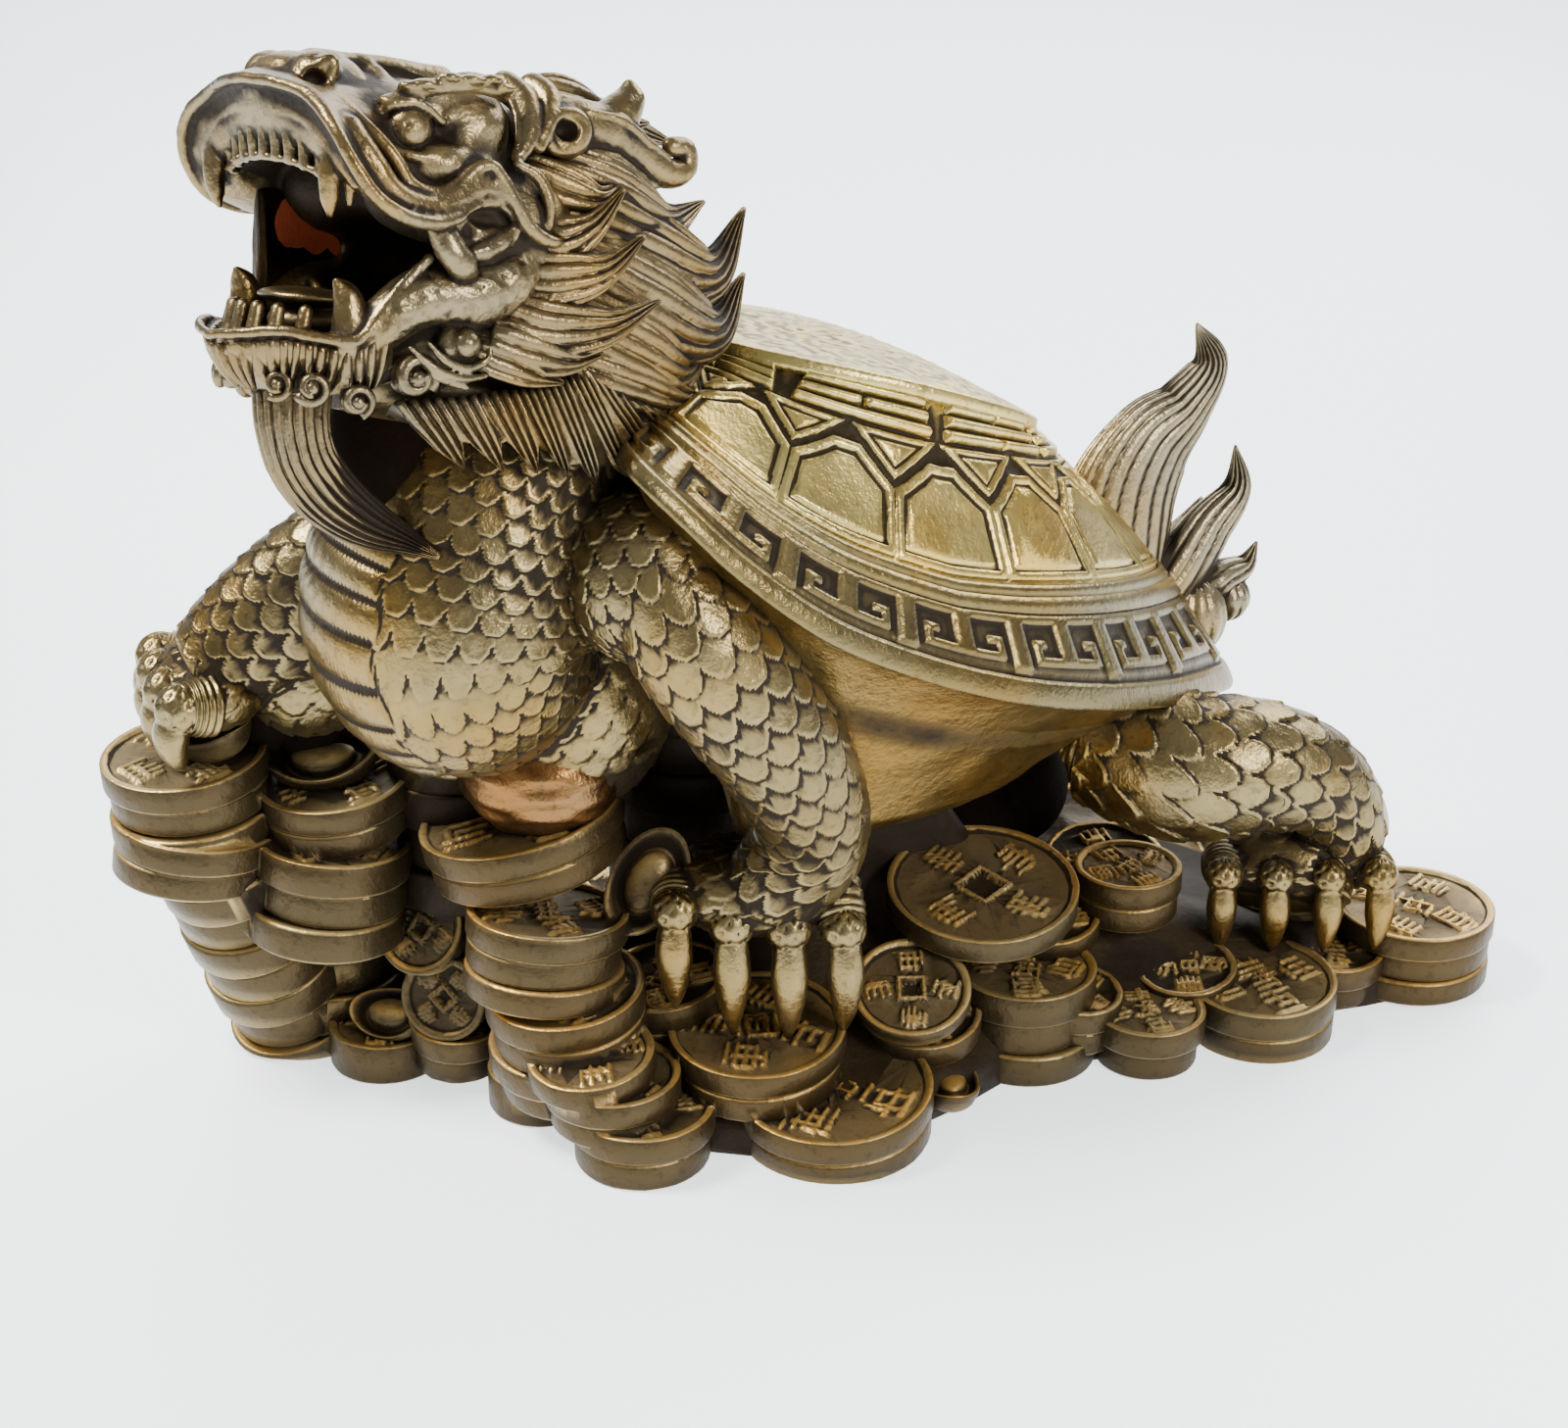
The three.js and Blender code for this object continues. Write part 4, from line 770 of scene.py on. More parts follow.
def round_plate(turn):
    """Rings of the pebbled plate on the top, from the groove under its edge to its middle."""
    under = -0.2 * DISC_EDGE
    over = under + DISC_EDGE + 0.1
    edge = 1 + DISC_OVERHANG
    profile = [(0.97, under - 1.3), (1.0, under - 0.7), (edge, under), (1.058, under + 0.9),
               (edge, under + DISC_EDGE - 0.2), (1.035, over)]
    profile += [(share, over + DISC_RISE * (1 - share**2)) for share in np.linspace(1.0, 0.015, 44)]
    plate = []
    for share, up in profile:
        point = disc_at(turn, share)
        point[:, 2] = mix(point[:, 2], disc_at(turn)[:, 2], 0.5 * min(share, 1)) + up
        world = shell_to_world(point)
        if share <= 1.0 and up > 0:
            pebbles = np.maximum(grain(world, PEBBLE), -0.2) * PEBBLE_HEIGHT * min(1, share * 6)
            world = world + SHELL_AXES[2] * pebbles[:, None]
        plate.append(world)
    return np.stack(plate)


def shell_dome():
    """Scutes, the ring of bars and the round plate."""
    columns = 840
    turn = np.arange(columns) / columns
    rise = np.concatenate([[0.36], np.linspace(0.392, BANDS_LOW, 74), np.linspace(BANDS_LOW, 1, 34)[1:]])
    turns, rises = np.meshgrid(turn, rise)
    base = dome_at(turns, rises)
    high = dome_at(turns, np.minimum(rises + 0.01, 1.0))
    low = dome_at(turns, rises - 0.01)
    tall = np.linalg.norm(high - low, axis=-1) / (np.minimum(rises + 0.01, 1.0) - rises + 0.01)
    wide = np.linalg.norm(np.roll(base, -1, axis=1) - np.roll(base, 1, axis=1), axis=-1) * columns / 2
    lift = np.where(rises > BANDS_LOW, bar_relief(turns, rises, wide), scute_relief(turns, rises, wide, tall))
    lift[0] = -1.2
    grid = shell_to_world(base)
    grid = grid + sheet_normals(grid) * lift[..., None]
    return skin(np.concatenate([grid, round_plate(turn)]))


# Neck and chest. CHEST_LOW and CHEST_HIGH are shares of the way up, and BELLY_SPREAD is in degrees to either
# side of the front.
BELLY_PLATES = 10
CHEST_LOW = 0.2
CHEST_HIGH = 0.6
BELLY_SPREAD = 36
SCALE_PITCH = 4.0
CHEST_SCALES = 30
BELLY_ROLL = 1.5


def chest():
    """Neck and chest with belly plates in front, and the scaly trunk behind it."""
    path = [[0, -60, 83], [0, -67, 92], [0, -75, 107], [0, -70, 128], [1, -60, 148], [2, -60, 166]]
    sizes = [[8, 7], [24, 21], [31, 28], [28, 26], [22, 22], [18, 20]]

    def relief(u, v):
        turn = (u - 0.25 + 0.5) % 1 * 360 - 180
        along = (v - CHEST_LOW) / (CHEST_HIGH - CHEST_LOW) * BELLY_PLATES
        share = along - np.floor(along)
        roll = np.sqrt(np.maximum(1 - (2 * share - 1) ** 2, 0)) * BELLY_ROLL - 0.4
        roll = roll + 0.1 * np.sin(u * 1100 + 2 * np.sin(v * 60))
        edge = BELLY_SPREAD + 1.5 * np.sin(along * np.pi)
        ends = ramp(-0.1, 0, along) * ramp(BELLY_PLATES + 0.1, BELLY_PLATES, along)
        inside = ramp(edge, edge - 2, np.abs(turn)) * ends
        down = (run_of(path, 1.0) - run_of(path, v)) / SCALE_PITCH
        scaly = scales(u * CHEST_SCALES, down, 1.0)
        seam = 0.7 * ramp(1.1, 0.3, np.abs(np.abs(turn) - edge)) * ramp(2.6, 4, along) * ramp(10.2, 9, along)
        return mix(scaly, roll, inside) - 0.25 * seam

    body = sweep(path, sizes, up=(0, -1, 0.001), around=400, along=290, relief=relief)
    return [body, scaly_ball([-3, -53, 92], [22, 22, 30], 200, 150, count=22, lines=19, rise=1.0)]


def stem():
    """Rough pale neck of metal that joins the chest to the coins."""
    return ball([0, -60, 74], [18, 16, 14], 90, 40, relief=lambda u, v: 0.4 * np.sin(v * 60) * np.sin(u * 25))


# Painted shadow: near-black lumps as [place, radii] behind the beard, between the stacks, under the belly and
# the raised paw
SHADOW_LUMP_PLACES = [[[3, -87, 143], [11, 13, 15]], [[-38, -93, 72], [8, 8, 8]], [[-33, -109, 42], [7, 7, 8]],
         [[-12, 54, 37], [14, 17, 14]], [[-37, -103.6, 77.6], [6, 6, 6]]]


# Painted shadow: near-black balls that stand where there is only shade.
def painted_shadow_lumps():
    return [ball(centre, radii, 40, 24) for centre, radii in SHADOW_LUMP_PLACES]


def leg(path, sizes, up, count, pitch, around=150, along=170, rise=1.1):
    return sweep(path, sizes, up=up, around=around, along=along,
                 relief=lambda u, v: scales(u * count, run_of(path, v) / pitch, rise))


def front_leg_left():
    path = [[14, -44, 128], [30, -50, 124], [37, -44, 112], [40, -34, 96], [39, -24, 80], [34, -18, 64],
            [28, -22, 50]]
    sizes = [[9, 10], [10, 10], [12.6, 12], [12.5, 11.5], [11.5, 11], [10.5, 10.5], [13, 9.5]]
    return leg(path, sizes, (1, 0.3, 0.2), 11, 5, 190, 230)


def front_leg_right():
    path = [[-14, -60, 115], [-25, -84, 111], [-31, -98, 102], [-35, -108, 95], [-37, -114, 91]]
    sizes = [[12, 14], [11.5, 15], [11, 14], [10.5, 11.5], [10.5, 9]]
    return leg(path, sizes, (0, 0, 1), 12, 4.4)


def shoulder():
    """Round left shoulder, with its scales running down from a pole in the hidden upper back."""
    pole = unit(np.array([-0.6, 0.35, 0.72]))
    across = unit(np.cross([0, 0, 1.0], pole))
    axes = np.stack([across, np.cross(pole, across), pole])
    return scaly_ball([26.4, -48, 121], [16, 16, 16], 180, 140, count=18, lines=11, rise=1.3, axes=axes)


def elbow():
    return scaly_ball([-34, -94, 89], [11, 14, 14], 110, 80, count=12, lines=9, rise=1.2)


def hind_leg(side):
    """Hind leg on the left for side 1 and on the right for side -1: thigh with shin, and foot."""
    flip = np.array([side, 1, 1])
    thigh = [[16, 62, 60], [31, 72, 57], [38, 88, 56], [41, 101, 50], [41, 109, 38], [37, 108, 29]]
    thigh_sizes = [[14, 15], [15, 16], [13, 14], [10, 10.5], [8, 8.5], [9, 9]]
    foot = [[28, 112, 23], [33, 104, 29], [37, 97, 29], [42, 93, 26]]
    foot_sizes = [[9, 8], [13, 10], [15, 9], [14, 5]]
    return [leg(np.array(thigh) * flip, thigh_sizes, (side, 0, 0.6), 12, 5.6, 190, 220, 1.6),
            leg(np.array(foot) * flip, foot_sizes, (0, 0, 1), 11, 4.4, 110, 60, 1.0)]


# Sizes of a toe and its claw as shares of its thickness, and where the claw bends as (share of its length,
# how far forward)
TOES = 4
TOE_SIZES = np.array([[1, 1], [0.98, 0.95], [0.85, 0.8]])
CLAW_SIZES = np.array([[0.56, 0.56], [0.62, 0.58], [0.72, 0.62], [0.42, 0.38]])
CLAW_BENDS = [(0.12, 0.3), (0.42, 0.5), (0.78, 0.32)]


def toe(root, knuckle, tip, thick):
    """Toe with ringed skin and a pitted round knuckle, and a long smooth claw that hangs from it."""
    root, knuckle, tip = (np.asarray(p, float) for p in (root, knuckle, tip))
    out = unit((knuckle - root) * [1, 1, 0])
    up = out + [0, 0, 0.5]
    rings = sweep([root, mix(root, knuckle, 0.62), knuckle], TOE_SIZES * thick, up, 34, 44,
                  relief=lambda u, v: 0.5 * np.abs(np.sin(v * 5 * np.pi)) * ramp(1, 0.85, v))
    knob = ball(knuckle + out * thick * 0.1, [thick * 0.92] * 3, 44, 26,
                relief=lambda u, v: -0.5 * ramp(0.35, 0.8, np.sin(u * 50) * np.sin(v * 22)))
    bends = [mix(knuckle, tip, share) + out * thick * forward for share, forward in CLAW_BENDS]
    claw = sweep([knuckle, *bends, tip], [*(CLAW_SIZES * thick), [0.25, 0.25]], up, 24, 34)
    return [rings, knob, claw]


def paw(middle, radii, facing, spacing, fan, reach, claw, thick, drop=(0, 0, 0, 0)):
    """Paw with four toes. drop and claw are how far each knuckle and each tip lie under the paw's middle."""
    heart = np.array(middle, float)
    turn = math.radians(facing)
    axes = np.array([[math.cos(turn), math.sin(turn), 0], [-math.sin(turn), math.cos(turn), 0], [0, 0, 1]])
    solids = [scaly_ball(heart, radii, 110, 60, count=13, lines=9, rise=0.9, axes=axes)]
    for i, (down, reach_down) in enumerate(zip(drop, np.broadcast_to(claw, TOES))):
        place = i - (TOES - 1) / 2
        angle = turn + math.radians(place * fan)
        out = np.array([math.cos(angle), math.sin(angle), 0])
        row = heart + axes[1] * place * spacing
        sink = abs(place) * 0.8
        root = row + out * reach * 0.1
        knuckle = row + out * (reach - sink) + [0, 0, thick * 0.2 - down]
        tip = row + out * (reach * 1.1 - sink) - [0, 0, reach_down]
        solids += toe(root, knuckle, tip, thick)
    return solids


PAW_LEFT = dict(middle=[24, -25, 50], radii=[13, 18, 9], facing=-23, spacing=10, fan=6, reach=10,
                claw=[22, 28, 30, 29.5], thick=5.1, drop=[1.5, 4.5, 6, 7])
PAW_RIGHT = dict(middle=[-37, -114, 88], radii=[11, 14, 8], facing=-98, spacing=7.6, fan=10, reach=8, claw=12,
                 thick=5.6)
PAW_HIND_LEFT = dict(middle=[35, 101, 30], radii=[12, 17, 8], facing=-28, spacing=10, fan=6, reach=11,
                     claw=17, thick=4.5)
PAW_HIND_RIGHT = dict(PAW_HIND_LEFT, middle=[-35, 101, 30], facing=208)


# Head. Its own frame has f towards the snout, s to the head's left and k to its crown.
HEAD_CENTRE = np.array([2, -72, 172.0])
HEAD_YAW, HEAD_PITCH, HEAD_ROLL = (math.radians(value) for value in (12, 14, 8))
HEAD_LOW = (-38, 0, -26)
HEAD_HIGH = (54, 33, 42)
VOXEL = 0.42
BAND = 6


def head_axes():
    forward = np.array([math.sin(HEAD_YAW) * math.cos(HEAD_PITCH), -math.cos(HEAD_YAW) * math.cos(HEAD_PITCH),
                        math.sin(HEAD_PITCH)])
    level = unit(np.cross([0, 0, 1.0], forward))
    upright = np.cross(forward, level)
    left = level * math.cos(HEAD_ROLL) + upright * math.sin(HEAD_ROLL)
    return np.stack([forward, left, upright * math.cos(HEAD_ROLL) - level * math.sin(HEAD_ROLL)])


HEAD_AXES = head_axes()


def on_head(points):
    return np.asarray(points, float) @ HEAD_AXES + HEAD_CENTRE


def on_side(points, side):
    """Points of the head's left side, or their mirror image for side -1."""
    return np.asarray(points, float) * [1, side, 1]


def head_grain(f, s, k, size):
    """Smooth noise on a part of the head's grid."""
    f, s, k = np.broadcast_arrays(f, s, k)
    return grain(np.stack([f.ravel(), s.ravel(), k.ravel()], -1), size).reshape(f.shape)


class Clay:
    """Left half of the head as distances on a fine grid, so that shapes blend into one another."""

    def __init__(self):
        self.low = np.array(HEAD_LOW, float)
        self.shape = np.ceil((np.array(HEAD_HIGH) - self.low) / VOXEL).astype(int) + 1
        self.field = np.full(self.shape, 9, np.float32)

    def part(self, low, high, margin):
        first = np.clip(np.floor((np.asarray(low) - margin - self.low) / VOXEL), 0,
                        self.shape - 1).astype(int)
        last = np.clip(np.ceil((np.asarray(high) + margin - self.low) / VOXEL) + 1, first + 1,
                       self.shape).astype(int)
        axes = [(self.low[k] + np.arange(first[k], last[k]) * VOXEL).astype(np.float32) for k in range(3)]
        return tuple(slice(a, b) for a, b in zip(first, last)), np.meshgrid(*axes, indexing="ij", sparse=True)

    def blend(self, part, value, soft, cut=False):
        """Adds a shape, or cuts it away, with a soft seam some millimetres wide."""
        own = -self.field[part] if cut else self.field[part]
        h = np.clip(0.5 + 0.5 * (own - value) / soft, 0, 1)
        own = own + (value - own) * h - soft * h * (1 - h)
        self.field[part] = -own if cut else own

    def ball(self, centre, radii, soft=1.0, cut=False):
        centre, radii = np.asarray(centre, float), np.broadcast_to(np.asarray(radii, float), 3)
        part, (f, s, k) = self.part(centre - radii, centre + radii, 2 * soft + 1)
        q = [(g - c) / r for g, c, r in zip((f, s, k), centre, radii)]
        far = np.sqrt(q[0] ** 2 + q[1] ** 2 + q[2] ** 2)
        steep = np.sqrt((q[0] / radii[0]) ** 2 + (q[1] / radii[1]) ** 2 + (q[2] / radii[2]) ** 2)
        self.blend(part, (far * (far - 1) / np.maximum(steep, 1e-4)).astype(np.float32), soft, cut)

    def rope(self, path, radii, soft=0.6, cut=False, steps=4, straight=False):
        """Round bar along a path. radii holds one radius, or one for each point of the path."""
        path = np.asarray(path, float)
        radii = np.broadcast_to(np.asarray(radii, float), len(path))
        share = np.linspace(0, 1, (len(path) - 1) * (1 if straight else steps) + 1)
        line = path if straight else spline(path, share)
        thick = np.interp(share, np.linspace(0, 1, len(path)), radii)
        reach = radii.max()
        part, (f, s, k) = self.part(line.min(axis=0) - reach, line.max(axis=0) + reach, 2 * soft + 1)
        value = np.full(self.field[part].shape, 99, np.float32)
        for a, b, r, q in zip(line[:-1], line[1:], thick[:-1], thick[1:]):
            own, (x, y, z) = self.part(np.minimum(a, b) - max(r, q), np.maximum(a, b) + max(r, q),
                                       2 * soft + 1)
            d = b - a
            t = np.clip(((x - a[0]) * d[0] + (y - a[1]) * d[1] + (z - a[2]) * d[2]) / max(d @ d, 1e-6), 0, 1)
            far = np.sqrt((x - a[0] - t * d[0]) ** 2 + (y - a[1] - t * d[1]) ** 2
                          + (z - a[2] - t * d[2]) ** 2)
            inner = tuple(slice(o.start - p.start, o.stop - p.start) for o, p in zip(own, part))
            value[inner] = np.minimum(value[inner], far - (r + (q - r) * t))
        self.blend(part, value, soft, cut)

    def solid(self, solid, soft=0.8):
        corners, triangles = solid
        points = ((corners - self.low) / VOXEL).astype(np.float32)
        grid = openvdb.FloatGrid.createLevelSetFromPolygons(points, triangles=triangles.astype(np.uint32),
                                                            halfWidth=BAND)
        value = np.empty(self.shape, np.float32)
        grid.copyToArray(value, (0, 0, 0))
        self.blend(tuple(slice(0, n) for n in self.shape), value * VOXEL, soft)

    def relief(self, low, high, height):
        """Lifts the surface inside a box by height(f, s, k)."""
        part, (f, s, k) = self.part(low, high, 0)
        edge = 1.0
        for g, a, b in zip((f, s, k), low, high):
            edge = edge * ramp(a, a + 1.5, g) * ramp(b, b - 1.5, g)
        self.field[part] -= (edge * height(f, s, k)).astype(np.float32)

    def mesh(self):
        whole = np.concatenate([self.field[:, :0:-1], self.field], axis=1)
        grid = openvdb.FloatGrid(9)
        grid.copyFromArray(whole)
        points, triangles, quads = grid.convertToPolygons(0.0, 0.0)
        triangles = np.concatenate([triangles, quads[:, [0, 1, 2]], quads[:, [0, 2, 3]]]).astype(np.int64)
        start = self.low - [0, (self.shape[1] - 1) * VOXEL, 0]
        return outwards(on_head(points * VOXEL + start), triangles)


# Slices of the upper jaw's left half, from the lip's end in the cheek to the middle, as [f, s, k] at the
# skull, the snout, behind the lip, the lip outside and inside, the gum, the palate and the throat
VISOR = [
    [[9, 22.5, 15], [18, 24, 13], [24, 26, 10.5], [29, 28.3, 9.8], [28, 25.5, 8.8], [27, 20, 10],
     [20, 18.5, 9], [12, 18, 3]],
    [[10, 22, 19], [24, 22.5, 17], [31, 25.5, 14], [36.5, 28, 12.2], [36, 25.5, 11.8], [34, 19, 13.5],
     [24, 17.5, 12], [12, 17, 5]],
    [[11, 21, 24], [27, 20.5, 22], [36, 24, 19.5], [41.5, 27, 18.5], [40.5, 24.5, 17.5], [39.5, 18, 16.5],
     [25, 16.5, 15], [12, 16, 7]],
    [[12, 18, 28], [29, 18, 27], [38.5, 20.5, 26], [43.6, 23, 25], [42.5, 21, 23], [40.3, 14, 18.8],
     [26, 14, 17.5], [12, 13, 9]],
    [[12, 12, 31], [30, 12, 31], [39.5, 14, 30], [43.8, 15.5, 29.3], [43, 14, 27], [40.5, 10, 20],
     [26, 9, 19], [12, 8, 10]],
    [[12, 0, 32], [30, 0, 33], [40, 0, 32.5], [45.5, 0, 31.5], [45, 0, 29], [41, 0, 20.5], [26, 0, 20],
     [12, 0, 10]],
]
# Stations of the lower jaw: f, half width, then heights outside, at the lip and inside
JAW = [[-8, 21, -12, 2, -4], [8, 21.5, -18, -1, -8], [20, 20.5, -20, -6, -11], [30, 18.5, -19.5, -10, -13],
       [38, 16, -18.5, -9.5, -13.5], [44, 11, -17, -10.5, -13.5], [48, 4.5, -15, -12, -13]]
LIP_WALL = 3.5
# Lines of the face from its middle to the cheek, as [f, s, k]
LIP_RIM = [[46, 0, 30.5], [45, 8, 30], [43.6, 14.8, 28.5], [43.3, 23.1, 23.9], [41.3, 26.9, 18.2],
           [37, 28.3, 12.9], [31.7, 28.6, 10.4], [25.8, 28.2, 9.9], [20, 27.4, 11.5], [16.2, 26.8, 13.6],
           [11.2, 26, 14.4]]
UPPER_RIDGE = [[38.5, 12, 29], [37.4, 17.5, 27], [34.1, 22.5, 22.6], [31.1, 24.2, 19], [28.6, 25, 15.6],
               [24, 25.6, 14.6], [20.6, 26, 16], [17, 26.2, 19.3], [14.4, 26.6, 20], [11.6, 27, 17.4],
               [9.1, 27.5, 14.1], [6, 28, 10.3], [1.2, 28, 8.6], [-1.5, 27, 9.2]]
BROW = [[33.5, 11, 28.6], [30.5, 16.2, 27.2], [27.9, 19.2, 29.6], [25.6, 21, 30.9], [21.5, 22.4, 32.2],
        [16.7, 23, 32.8], [12.5, 22.8, 32.6], [9.4, 22, 31.8]]
LOWER_LIP = [[49.8, 0, -11.8], [47.6, 7, -10.8], [43, 13.2, -9.8], [38.5, 16.6, -10.4], [33.6, 19.6, -10.4],
             [30.4, 20.5, -6.5], [26.5, 21.4, -0.6], [22.3, 22.6, 4.2]]
UPPER_TEETH = 8
LOWER_TEETH = 7


def visor():
    slices = np.array(VISOR, float)
    whole = np.concatenate([slices, on_side(slices[-2::-1], -1)])
    share = np.linspace(0, 1, 61)
    smooth = np.stack([spline(whole[:, k], share) for k in range(whole.shape[1])], axis=1)
    return skin(np.stack([spline(ring, np.arange(40) / 40, closed=True) for ring in smooth]))


def lower_jaw():
    stations = spline(JAW, np.linspace(0, 1, 50), even=True)
    arc = np.linspace(0, math.pi, 17)
    rings = []
    for f, half, outer, lip, inner in stations:
        walls = [np.column_stack([np.full(17, f), reach * np.cos(arc), mix(lip, low, np.sin(arc) ** power)])
                 for reach, low, power in ((half, outer, 0.7), (half - LIP_WALL, inner, 0.6))]
        rings.append(np.concatenate([walls[0], walls[1][::-1]]))
    return skin(np.stack(rings))


def head_skull(clay):
    clay.ball((-6, 0, 10), (25, 22, 22), 2)
    clay.ball((8, 0, 21), (15, 19, 12), 5)
    clay.ball((2, 13, 10), (13, 14, 13), 4)
    clay.ball((15, 13, 15), (13, 12.5, 9), 3)
    clay.solid(visor(), 1.5)
    clay.ball((8, 12, -3), (14, 13, 9), 3)
    clay.solid(lower_jaw(), 1.5)
    clay.ball((33, 0, 30), (9, 9.5, 6), 3)
    clay.ball((17, 0, 2), (17, 15.5, 8.5), 2, cut=True)
    clay.ball((28, 0, -3), (15, 13.5, 8), 1.5, cut=True)
    clay.ball((24, 20, 3.5), (9, 8, 3.2), 1.5, cut=True)


def head_lips(clay):
    clay.rope(LIP_RIM, [1.0, 1.0, 1.0, 1.1, 1.1, 1.2, 1.3, 1.3, 1.2, 1.0, 0.8], 0.5)
    clay.rope(UPPER_RIDGE, [0.8, 1.0, 1.2, 1.2, 1.2, 1.2, 1.2, 1.2, 1.2, 1.3, 1.3, 1.3, 1.1, 0.6], 0.6)
    share = np.linspace(0, 1, 34)
    low, high = spline(LIP_RIM, mix(0.31, 0.98, share)), spline(UPPER_RIDGE, mix(0.14, 0.7, share))
    between = mix(low, high, 0.5)
    clay.rope(between[::3] - [0, 0.9, 0], 2.1, 1.2)
    for a, b in zip(mix(low, high, 0.25)[14:33:2], mix(low, high, 0.75)[14:33:2]):
        clay.rope([a + [0, 0.2, 0], b + [0, 0.2, 0]], 0.5, 0.5, straight=True)
    inner = [[43.5, 0, 26.5], [42, 12.5, 24.6], [41, 19.5, 20.2], [38.5, 23.5, 14.5]]
    clay.rope(inner, 0.6, 0.7)
    clay.rope(LOWER_LIP, [0.8, 0.9, 0.95, 1.0, 1.0, 1.0, 1.0, 0.9], 0.5)


def head_teeth(clay):
    gum = [[41.6, 0, 22.9], [40.8, 9, 22], [39.2, 16, 19]]
    clay.rope(gum, 0.6, 0.4)
    for i in range(UPPER_TEETH // 2 + 1):
        s = 14.2 * i / (UPPER_TEETH // 2)
        f = 41.4 - 0.012 * s * s
        drop = 0.013 * s * s
        clay.rope([[f, s, 22 - drop], [f - 0.3, s, 18.8 - drop]], [1.35, 1.2], 0.2, straight=True)
    clay.rope([[41.4, 0, 18.2], [40.6, 8, 17.6], [39.2, 15.4, 15.8]], 0.6, 0.4)
    clay.rope([[39, 18.4, 20], [40, 18.5, 16], [39.6, 18.1, 12.2], [38.9, 17.6, 9.4]],
              [2.3, 2.0, 1.5, 0.5], 0.5)
    clay.rope([[37.2, 20.6, 18.6], [37.6, 20.8, 14.6], [37, 20.2, 11.4]], [1.3, 1.0, 0.4], 0.4)
    for i in range(LOWER_TEETH // 2 + 1):
        s = 11 * i / (LOWER_TEETH // 2)
        f = 44.6 - 0.045 * s * s
        clay.rope([[f, s, -13.5], [f - 0.9, s, -6.6]], [1.6, 1.2], 0.25, straight=True)
    clay.rope([[33.4, 16.6, -11], [33.2, 16.8, -7.4], [34, 16.6, -3.6], [35.8, 16, -1.2]],
              [3.0, 3.1, 2.4, 0.8], 0.5)
    for i in range(3):
        f, k = 29 - 2.3 * i, -8 + 2.4 * i
        clay.rope([[f, 18.6, k], [f + 0.2, 18.2, k + 3]], [1.0, 0.6], 0.3, straight=True)
    clay.ball((24, 0, -8.5), (14, 9, 4.2), 1)
    clay.ball((31.5, 0, -4.4), (8, 9, 1.7), 0.8)
    clay.rope([[24, 0, -3.2], [31, 0, -2.2], [38, 0, -2.6]], 0.4, 0.6, cut=True)


def head_eyes(clay):
    clay.ball((18, 19.5, 19.5), (10, 6, 4.8), 1.6)
    clay.ball((24, 23.4, 27.2), (8.6, 4.4, 4.4), 0.8, cut=True)
    clay.ball((26, 18.8, 24.8), 4.1, 0.2)
    clay.ball((28.4, 22.3, 25.2), 0.6, 0.4, cut=True)
    clay.rope([[31.6, 17.6, 23.2], [29.4, 21.2, 20.9], [25.6, 23, 20.2], [20.6, 23.4, 22]],
              [0.7, 0.8, 0.9, 0.7], 0.4)
    clay.rope([[31.8, 17, 25.8], [29.8, 19.8, 28.2], [25.4, 21.4, 28.8], [21.4, 22, 26.4]],
              [0.6, 0.8, 0.8, 0.6], 0.4)
    clay.ball((13.6, 17.6, 26), (8.4, 5.6, 7), 2.2)
    clay.ball((14.4, 19, 23.6), (5.4, 4.4, 3.6), 1.6)
    clay.relief((4, 13, 18), (22, 28, 34), lambda f, s, k: 0.55 * head_grain(f, s, k, 3.4))
    clay.rope(BROW, [0.9, 1.2, 1.4, 1.4, 1.4, 1.3, 1.2, 0.9], 0.5)
    for i, place in enumerate(spline(BROW, np.linspace(0.2, 0.95, 7))):
        clay.ball(place + [0, 0.8, 0.9 + 0.5 * (i % 2)], (2.1, 1.8, 0.9), 1.0)


def head_nose(clay):
    clay.ball((38, 0, 32), (5, 6, 3.6), 1.5)
    clay.ball((36.8, 7.2, 31.4), (4.6, 4.2, 4.6), 0.9)
    ring = np.linspace(-0.6, 5.2, 9)
    wing = [[38.2 + 1.4 * math.cos(a) - 1.6 * math.sin(a), 9.6 - 0.6 * math.cos(a) + 1.2 * math.sin(a),
             31 + 3.4 * math.sin(a)] for a in ring]
    clay.rope(wing, 1.2, 0.5)
    clay.ball((39.6, 11.2, 31), (2.3, 2.2, 1.8), 0.6, cut=True)
    clay.rope([[33, 0, 34.5], [26, 0, 35], [18, 0, 35], [8, 0, 34]], [2.2, 2, 2.2, 3], 1.5)
    for f in (30, 24):
        clay.rope([[f, 0, 34.6], [f - 1, 4, 34], [f - 0.5, 8, 32]], [1.4, 1.2, 0.7], 1.6)


def head_ears(clay):
    clay.rope([[5, 16, 34], [3.6, 19.6, 31.5], [4.2, 22.4, 26.4], [7.4, 24.2, 21.8]],
              [2.7, 2.6, 2.2, 1.2], 0.5)
    clay.rope([[-1, 15.5, 34.4], [-1.6, 19, 32.8], [0, 22, 29.2], [2.6, 23.6, 24.4]],
              [2.6, 2.4, 1.9, 1.2], 0.5)
    clay.rope([[7.2, 16.6, 34], [6.2, 20.6, 30.4], [7, 23.4, 25]], 0.6, 0.4)
    clay.ball((-4.4, 19.4, 27.2), (6, 4.8, 5), 0.8)
    ring = np.linspace(0, 2 * math.pi, 13)
    clay.rope([[-3.6 + 4.2 * math.cos(a), 22.6, 27.4 + 3.3 * math.sin(a) - 0.5 * math.cos(a)] for a in ring],
              1.0, 0.5)
    clay.ball((-3.2, 24.6, 27.6), (2.4, 4, 1.9), 0.7, cut=True)
    clay.rope([[8, 25.2, 21], [4, 26.2, 19], [2, 26.8, 15.4], [1.6, 27, 11.6]], [0.8, 1.1, 1.1, 0.7], 0.5)


